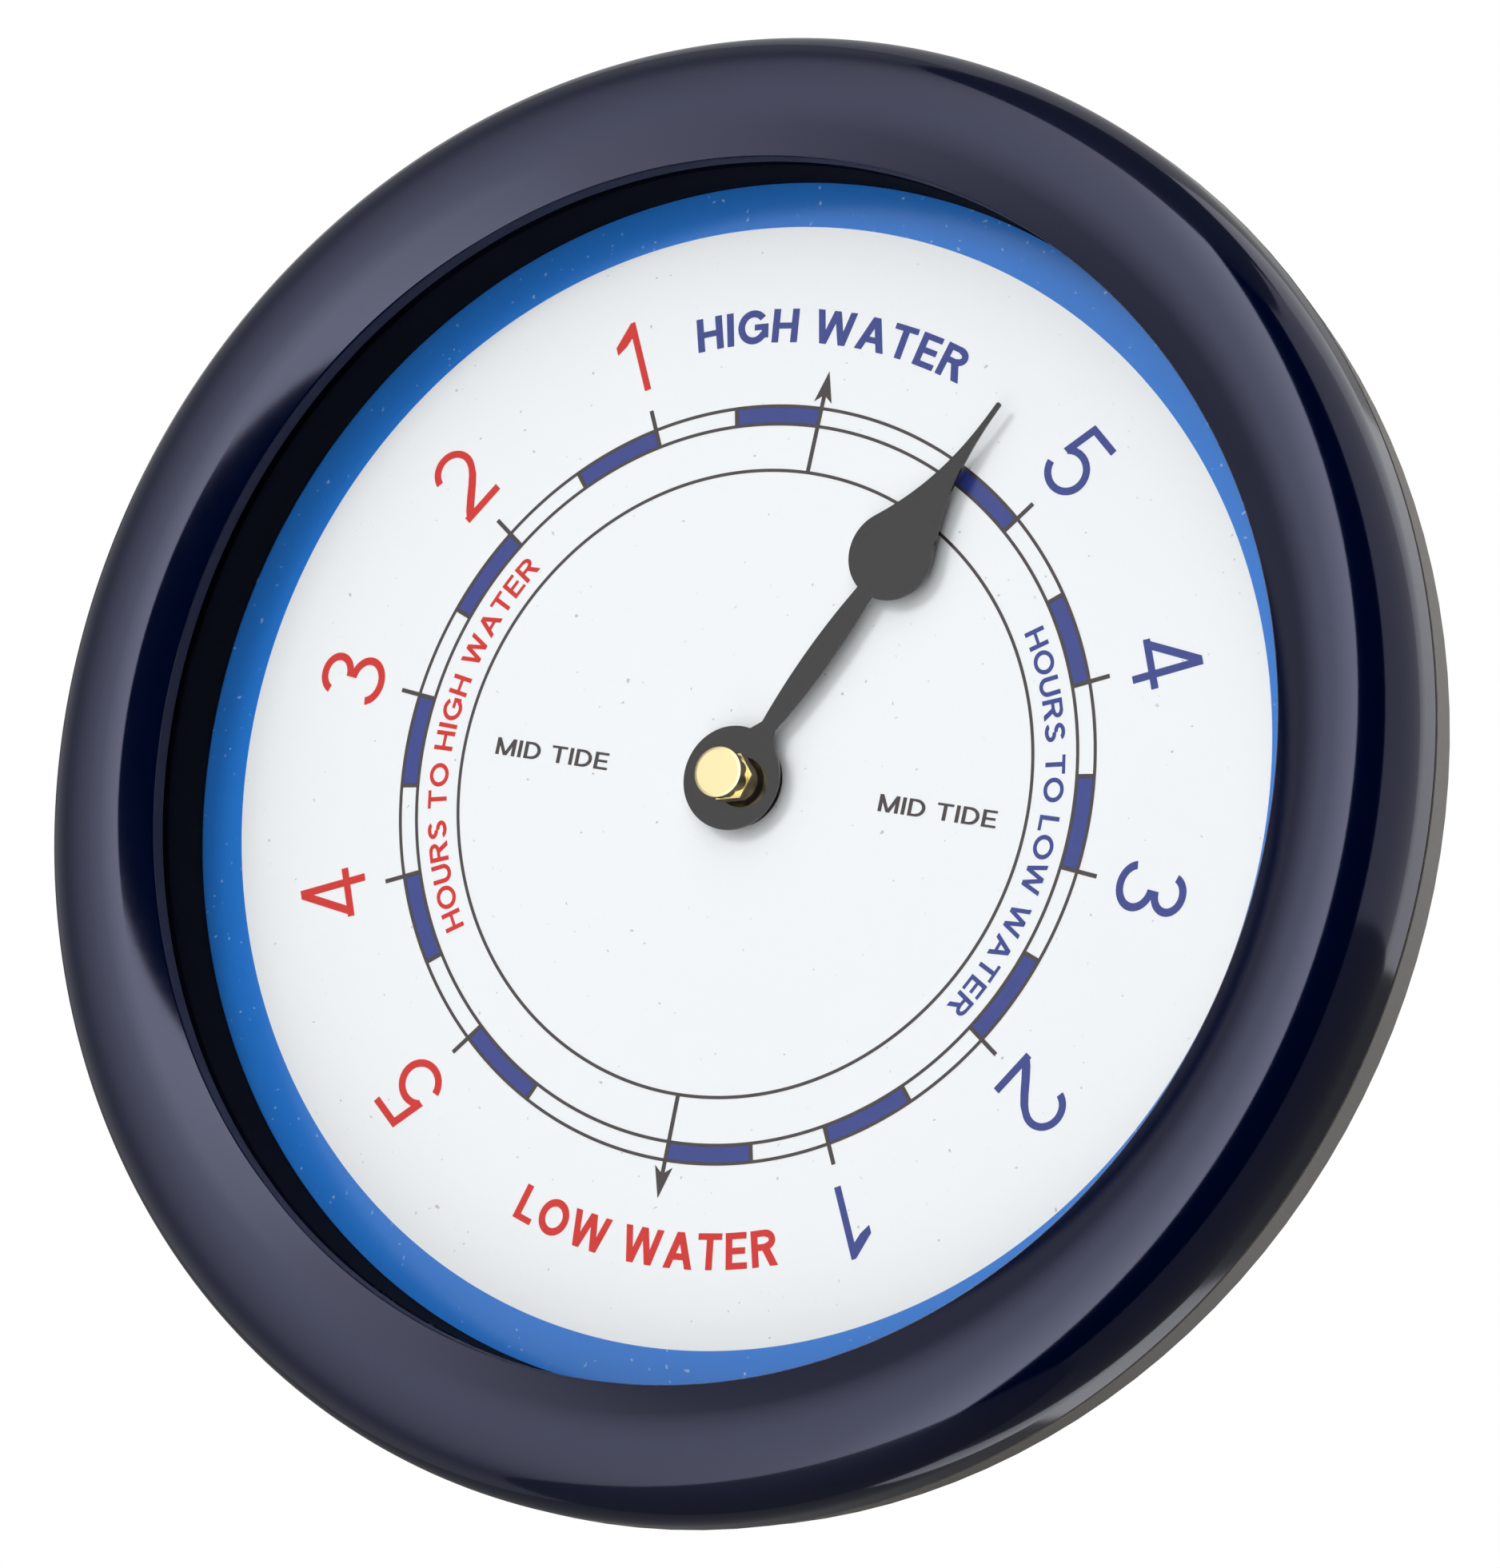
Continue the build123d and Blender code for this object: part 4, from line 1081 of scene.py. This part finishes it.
@dataclass
class DialPrint:
    """Scale, band and words printed on the dial, each ink a thin film.

    Attributes:
        face_depth: Depth of the dial's face.
        film: Thickness of one layer of ink.
        band_layers: Layers in the band and the bars.
        line_layers: Layers in the circles and the words.
        spoke_layers: Layers in a tick, a little over the circles so that they cross cleanly.
        head_layers: Layers in an arrow's head, a little over its shaft.
        band_r: Where the white turns to the blue band.
        edge_r: Outer edge of the band, behind the spacer.
        track_r: Outer circle of the scale.
        track_in_r: Inner circle of the scale.
        ring_r: Circle inside the ring of words.
        line: Width of the circles.
        stem: Width of the ticks and of the arrows' shafts.
        hours: Hours that are counted on each side.
        hour_deg: One hour of the tide on the dial.
        high_at: Dial angle of the arrow at high water, as printed.
        low_at: Dial angle of the arrow at low water, as printed.
        falling_from: Dial angle from which the hours to low water count back.
        rising_from: Dial angle from which the hours to high water count back.
        numeral_r: Radius of the numerals' middles.
        numeral_h: Height of the numerals.
        numeral_stroke: Width of their strokes, as a share of the height.
        tick_r: Outer end of the hour ticks.
        arrow_neck_r: Foot of the arrow's head.
        arrow_tip_r: Tip of the arrow.
        arrow_w: Width of the arrow's head.
        notch_share: How far the notch reaches into the head.
        bar_gap: White gap between a bar and its tick.
        bar_steps: Divisions of a bar.
        turn_steps: Divisions of a full turn.
        mid_at: Where the words at mid tide stand across the dial.
        mid_l: Length of those words.
        mid_h: Height of those words.
        mid_stroke: Width of their strokes, as a share of the height.
    """

    face_depth: float = 22.0
    film: float = 0.03
    band_layers: float = 1.0
    line_layers: float = 2.0
    spoke_layers: float = 2.3
    head_layers: float = 2.6
    band_r: float = 91.9
    edge_r: float = 101.0
    track_r: float = 62.0
    track_in_r: float = 59.0
    ring_r: float = 51.3
    line: float = 0.53
    stem: float = 0.7
    hours: int = 5
    hour_deg: float = 28.35
    high_at: float = 0.5
    low_at: float = 179.3
    falling_from: float = 180.75
    rising_from: float = 361.0
    numeral_r: float = 75.2
    numeral_h: float = 12.1
    numeral_stroke: float = 0.1
    tick_r: float = 65.5
    arrow_neck_r: float = 63.0
    arrow_tip_r: float = 68.2
    arrow_w: float = 3.2
    notch_share: float = 0.25
    bar_gap: float = 0.35
    bar_steps: int = 12
    turn_steps: int = 320
    mid_at: Point = (-34.9, 35.7)
    mid_l: float = 21.0
    mid_h: float = 2.8
    mid_stroke: float = 0.17

    def section(self, inner: float, outer: float, layers: float) -> list[Point]:
        """Section of a film of ink between two radii."""
        top = self.face_depth + layers * self.film
        return [(inner, self.face_depth), (outer, self.face_depth), (outer, top), (inner, top)]

    def marks(self) -> list[float]:
        """Dial angles of the marks.

        Returns:
            The angles, clockwise from the top.
        """
        falling = [self.falling_from - self.hour_deg * k for k in range(self.hours, 0, -1)]
        rising = [self.rising_from - self.hour_deg * k for k in range(self.hours, 0, -1)]
        return [self.high_at, *falling, self.low_at, *rising]

    def spoke(self, bm: bmesh.types.BMesh, angle: float, inner: float, outer: float) -> None:
        """Draws a line along a radius.

        Args:
            bm: Mesh of the print.
            angle: Dial angle.
            inner: Radius where it starts.
            outer: Radius where it ends.
        """
        deep = self.spoke_layers * self.film
        size = Matrix.Diagonal((self.stem * MM, deep * MM, (outer - inner) * MM, 1.0))
        middle = Matrix.Translation((0.0, -(self.face_depth + deep / 2) * MM, (inner + outer) / 2 * MM))
        at = Matrix.Rotation(math.radians(angle), 4, "Y")
        bmesh.ops.create_cube(bm, size=1.0, matrix=at @ middle @ size)

    def arrow(self, bm: bmesh.types.BMesh, angle: float) -> None:
        """Draws a barbed arrow head that points outwards.

        Args:
            bm: Mesh of the print.
            angle: Dial angle.
        """
        neck, tip = self.arrow_neck_r, self.arrow_tip_r
        notch = neck + (tip - neck) * self.notch_share
        half = self.arrow_w / 2
        outline = [(0.0, tip), (half, neck), (0.0, notch), (-half, neck)]
        at = Matrix.Rotation(math.radians(angle), 3, "Y")
        verts = [bm.verts.new(at @ Vector((x * MM, -self.face_depth * MM, z * MM))) for x, z in outline]
        raise_faces(bm, [bm.faces.new(verts)], self.head_layers * self.film)

    def band(self) -> bpy.types.Object:
        """Builds the blue band.

        Returns:
            The band.
        """
        bm = bmesh.new()
        turn(bm, self.section(self.band_r, self.edge_r, self.band_layers), self.turn_steps)
        return place(bm, "sea_band", BAND_INK, BODY)

    def bars(self) -> bpy.types.Object:
        """Builds the bars that fill the half hour before each mark.

        Returns:
            The bars.
        """
        bm = bmesh.new()
        section = self.section(self.track_in_r, self.track_r, self.band_layers)
        half_hour, gap = self.hour_deg / 2, math.degrees(self.bar_gap / self.track_r)
        for mark in self.marks():
            turn(bm, section, self.bar_steps, mark - half_hour, half_hour - gap)
        return place(bm, "scale_bars", SCALE_INK, BODY)

    def lines(self) -> bpy.types.Object:
        """Builds the circles, ticks and arrows.

        Returns:
            The lines.
        """
        bm = bmesh.new()
        half = self.line / 2
        for radius in (self.track_r, self.track_in_r, self.ring_r):
            turn(bm, self.section(radius - half, radius + half, self.line_layers), self.turn_steps)
        for mark in self.marks():
            self.spoke(bm, mark - self.hour_deg / 2, self.track_in_r, self.track_r)
            if mark not in (self.high_at, self.low_at):
                self.spoke(bm, mark, self.track_in_r, self.tick_r)
        for angle in (self.high_at, self.low_at):
            self.spoke(bm, angle, self.ring_r, self.arrow_neck_r + self.arrow_w / 2)
            self.arrow(bm, angle)
        return place(bm, "scale_lines", LINE_INK, BODY)

    def words(self) -> None:
        """Builds the numerals and the plain words of the scale."""
        letters = Lettering(self.face_depth, self.line_layers * self.film)
        size = (self.numeral_r, self.numeral_h, self.numeral_stroke)
        sides = (
            ("falling_words", SCALE_INK, FALLING_PHRASES, self.falling_from),
            ("rising_words", RED_INK, RISING_PHRASES, self.rising_from),
        )
        for name, ink, phrases, count_from in sides:
            bm = bmesh.new()
            for phrase in phrases:
                letters.ring(bm, phrase)
            for hour in range(1, self.hours + 1):
                letters.numeral(bm, str(hour), count_from - self.hour_deg * hour, *size)
            place(bm, name, ink, BODY, weld=False)
        bm = bmesh.new()
        for x in self.mid_at:
            letters.word(bm, "MID TIDE", x, self.mid_l, self.mid_h, self.mid_stroke)
        place(bm, "middle_words", LINE_INK, BODY, weld=False)


@dataclass
class Solids:
    """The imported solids, each with the finish of the real piece.

    Attributes:
        finished: Names of the solids by finish.
    """

    finished: dict[Finish, tuple[str, ...]]

    def dress(self) -> None:
        """Gives every solid its material."""
        for finish, names in self.finished.items():
            for name in names:
                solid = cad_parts[name]
                solid.data.materials.clear()
                solid.data.materials.append(finish.material())
                LOG.info("%s: %s", name, finish.name)


@dataclass(frozen=True)
class LitCloth:
    """White diffusion cloth lit from behind, brighter towards one side.

    Attributes:
        name: Name of the material.
        stops: Bearings in degrees from straight in front, right positive, each with its radiance.
    """

    name: str
    stops: tuple[Point, ...]

    def material(self) -> bpy.types.Material:
        """Makes the glowing material.

        Returns:
            The material.
        """
        made = bpy.data.materials.new(self.name)
        made.use_nodes = True
        tree = made.node_tree
        tree.nodes.clear()
        where = add_node(tree, "ShaderNodeTexCoord").outputs["Object"]
        parts = add_node(tree, "ShaderNodeSeparateXYZ", None, {0: where}).outputs
        negate, angle = {"operation": "MULTIPLY", 1: -1.0}, {"operation": "ARCTAN2"}
        front = add_node(tree, "ShaderNodeMath", negate, {0: parts["Y"]}).outputs[0]
        bearing = add_node(tree, "ShaderNodeMath", angle, {0: parts["X"], 1: front}).outputs[0]
        first, last = self.stops[0][0], self.stops[-1][0]
        span = {"From Min": math.radians(first), "From Max": math.radians(last)}
        share = add_node(tree, "ShaderNodeMapRange", span, {"Value": bearing}).outputs[0]
        ramp = add_node(tree, "ShaderNodeValToRGB", None, {0: share})
        peak = max(radiance for _, radiance in self.stops)
        marks = ramp.color_ramp.elements
        marks[1].position = 1.0
        for degrees, _ in self.stops[1:-1]:
            marks.new((degrees - first) / (last - first))
        for mark, (_, radiance) in zip(marks, self.stops):
            mark.color = (radiance / peak, radiance / peak, radiance / peak, 1.0)
        glow = add_node(tree, "ShaderNodeEmission", {"Strength": peak}, {"Color": ramp.outputs[0]})
        add_node(tree, "ShaderNodeOutputMaterial", None, {"Surface": glow.outputs[0]})
        return made


@dataclass
class Studio:
    """Floor, lit cloth, cards, lamps and the camera of the photograph.

    Attributes:
        floor_z: Height of the floor below the clock, metres.
        ceiling_z: Height of the dark ceiling, metres.
        tent_r: Radius of the cloth and cards round the clock, metres.
        sheet_span: Side of floor and ceiling, in radii of the cloth.
        curtain_steps: Divisions of a curved sheet.
        cloth: Bearings and radiances of the lit cloth.
        gap_end: Bearing where the dark card beside the cloth ends.
        behind: Bearing straight behind the clock.
        low_end: Bearing where the low card at the right ends.
        high_end: Bearing where the high card at the right ends.
        low_top: Height of the dim card at the left, metres.
        dim: Radiance of the low cards.
        fair: Radiance of the high cards, at the left and at the right.
        focal: Focal length in pixels of the photograph.
        tall: Height of the photograph in pixels.
        sensor: Sensor side in millimetres that stands for that height.
        eye: Camera's place, metres.
        eye_axes: Camera's right, up and back.
        clip_end: How far the camera sees, metres.
        key_at: Place of the lamp in front, metres.
        key_size: Its side, metres.
        key: Its power in watts.
        back_at: Place of the lamp behind, metres.
        back_size: Its side, metres.
        back: Its power in watts.
        ambient: Strength of the world for diffuse light.
    """

    floor_z: float = -6.6
    ceiling_z: float = 10.4
    tent_r: float = 4.0
    sheet_span: float = 2.2
    curtain_steps: int = 40
    cloth: tuple[Point, ...] = (
        (-125, 0.25),
        (-110, 0.31),
        (-82, 0.28),
        (-70, 0.4),
        (-50, 0.78),
        (-30, 1.16),
        (-8, 1.45),
        (5, 1.85),
        (27, 2.5),
    )
    gap_end: float = 70.0
    behind: float = 180.0
    low_end: float = 165.0
    high_end: float = 142.0
    low_top: float = 0.8
    dim: float = 0.14
    fair: Point = (0.4, 0.64)
    focal: float = 9415.003
    tall: float = 1961.0
    sensor: float = 36.0
    eye: Spot = (0.561668, -1.083849, -0.134375)
    eye_axes: tuple[Spot, Spot, Spot] = (
        (0.87639641, 0.43629973, 0.20389182),
        (-0.13075393, -0.19190066, 0.97266518),
        (0.46350053, -0.87909993, -0.11113314),
    )
    clip_end: float = 60.0
    key_at: Spot = (-0.64, -1.97, 0.7)
    key_size: float = 0.45
    key: float = 11.0
    back_at: Spot = (-0.5, 2.2, 0.9)
    back_size: float = 0.9
    back: float = 30.0
    ambient: float = 0.35

    def stage(self, bm: bmesh.types.BMesh, name: str, material: bpy.types.Material) -> None:
        """Turns a bmesh into a piece of the studio that only the gloss sees.

        Args:
            bm: The shape, metres.
            name: Name of the piece.
            material: Its material.
        """
        mesh = bpy.data.meshes.new(name)
        bm.to_mesh(mesh)
        bm.free()
        mesh.materials.append(material)
        piece = bpy.data.objects.new(name, mesh)
        bpy.context.scene.collection.objects.link(piece)
        piece.visible_camera = False

    def level(self, name: str, z: float, finish: Finish) -> None:
        """Lays a level sheet, such as the floor.

        Args:
            name: Name of the sheet.
            z: Its height, metres.
            finish: Its material.
        """
        bm = bmesh.new()
        half = self.sheet_span * self.tent_r / 2
        at = Matrix.Translation((0, 0, z))
        bmesh.ops.create_grid(bm, x_segments=1, y_segments=1, size=half, matrix=at)
        self.stage(bm, name, finish.material())

    def curtain(
        self, name: str, start: float, end: float, low_z: float, high_z: float, material: bpy.types.Material
    ) -> None:
        """Hangs a curved sheet round the clock between two bearings.

        Args:
            name: Name of the sheet.
            start: Bearing of its left edge.
            end: Bearing of its right edge.
            low_z: Height of its lower edge, metres.
            high_z: Height of its upper edge, metres.
            material: Its material.
        """
        bm = bmesh.new()
        angle = math.radians(start)
        foot = (self.tent_r * math.sin(angle), -self.tent_r * math.cos(angle))
        low, high = (bm.verts.new((*foot, z)) for z in (low_z, high_z))
        edge = bm.edges.new((low, high))
        bmesh.ops.spin(
            bm,
            geom=[low, high, edge],
            cent=(0, 0, 0),
            axis=(0, 0, 1),
            angle=math.radians(end - start),
            steps=self.curtain_steps,
            use_merge=False,
        )
        self.stage(bm, name, material)

    def lamp(self, name: str, place_at: Spot, size: float, watts: float) -> None:
        """Hangs a square soft lamp that casts the clock's shadows, but leaves no mirror image.

        Args:
            name: Name of the lamp.
            place_at: Its middle, metres.
            size: Its side, metres.
            watts: Its power.
        """
        data = bpy.data.lights.new(name, "AREA")
        data.size = size
        data.energy = watts
        lamp = bpy.data.objects.new(name, data)
        aim = -Vector(place_at)
        facing = aim.to_track_quat("-Z", "Y").to_matrix().to_4x4()
        lamp.matrix_world = Matrix.Translation(place_at) @ facing
        lamp.visible_glossy = False
        bpy.context.scene.collection.objects.link(lamp)

    def lights(self) -> None:
        """Lays the floor, and hangs ceiling, cloth, cards and lamps."""
        bottom, top = self.floor_z, self.ceiling_z
        self.level("studio_floor", bottom, GREY_FLOOR)
        self.level("dark_ceiling", top, GREY_FELT)
        start, end = self.cloth[0][0], self.cloth[-1][0]
        left, right = -self.behind, self.behind
        lit = LitCloth("lit_diffusion_cloth", self.cloth).material()
        dim = LitCloth("dim_cloth", ((left, self.dim), (right, self.dim))).material()
        fair = LitCloth("fair_cloth", ((left, self.fair[0]), (right, self.fair[1]))).material()
        self.curtain("lit_cloth", start, end, bottom, top, lit)
        self.curtain("dark_card", end, self.gap_end, bottom, top, BLACK_FELT.material())
        self.curtain("left_low_card", left, start, bottom, self.low_top, dim)
        self.curtain("left_high_card", left, start, self.low_top, top, fair)
        self.curtain("right_low_card", self.gap_end, self.low_end, bottom, 0.0, dim)
        self.curtain("right_high_card", self.gap_end, self.high_end, 0.0, top, fair)
        self.lamp("key_lamp", self.key_at, self.key_size, self.key)
        self.lamp("back_lamp", self.back_at, self.back_size, self.back)

    def world(self) -> None:
        """Sets a world that shows white, also in gloss and glass, and lights the clock more softly."""
        made = bpy.data.worlds.new("white_studio")
        made.use_nodes = True
        tree = made.node_tree
        tree.nodes.clear()
        rays = add_node(tree, "ShaderNodeLightPath").outputs
        add, add_clamped = {"operation": "ADD"}, {"operation": "ADD", "use_clamp": True}
        direct = {0: rays["Is Camera Ray"], 1: rays["Is Glossy Ray"]}
        seen = add_node(tree, "ShaderNodeMath", add, direct).outputs[0]
        through = {0: seen, 1: rays["Is Transmission Ray"]}
        shown = add_node(tree, "ShaderNodeMath", add_clamped, through).outputs[0]
        soft, white = (
            add_node(tree, "ShaderNodeBackground", {"Color": WHITE, "Strength": strength}).outputs[0]
            for strength in (self.ambient, 1.0)
        )
        mix = add_node(tree, "ShaderNodeMixShader", None, {0: shown, 1: soft, 2: white}).outputs[0]
        add_node(tree, "ShaderNodeOutputWorld", None, {"Surface": mix})
        bpy.context.scene.world = made

    def camera(self) -> None:
        """Sets the camera where the photograph was taken from."""
        data = bpy.data.cameras.new("photo_camera")
        data.sensor_width = self.sensor
        data.lens = self.focal * self.sensor / self.tall
        data.clip_end = self.clip_end
        eye = bpy.data.objects.new("photo_camera", data)
        turned = Matrix(self.eye_axes).transposed().to_4x4()
        eye.matrix_world = Matrix.Translation(self.eye) @ turned
        bpy.context.scene.collection.objects.link(eye)
        bpy.context.scene.camera = eye


def main() -> None:
    """Builds the clock's looks and the studio."""
    logging.basicConfig(level=logging.INFO, format="%(name)s %(message)s")
    studio = Studio()
    studio.camera()
    Solids(NODES_BY_FINISH).dress()
    front = CaseFront()
    front.bezel()
    front.spacer()
    SpadeHand().build()
    CapNut().build()
    dial = DialPrint()
    dial.band()
    dial.bars()
    dial.lines()
    dial.words()
    studio.lights()
    studio.world()
    bpy.context.scene.view_settings.view_transform = "Standard"


if __name__ == "__main__":
    main()
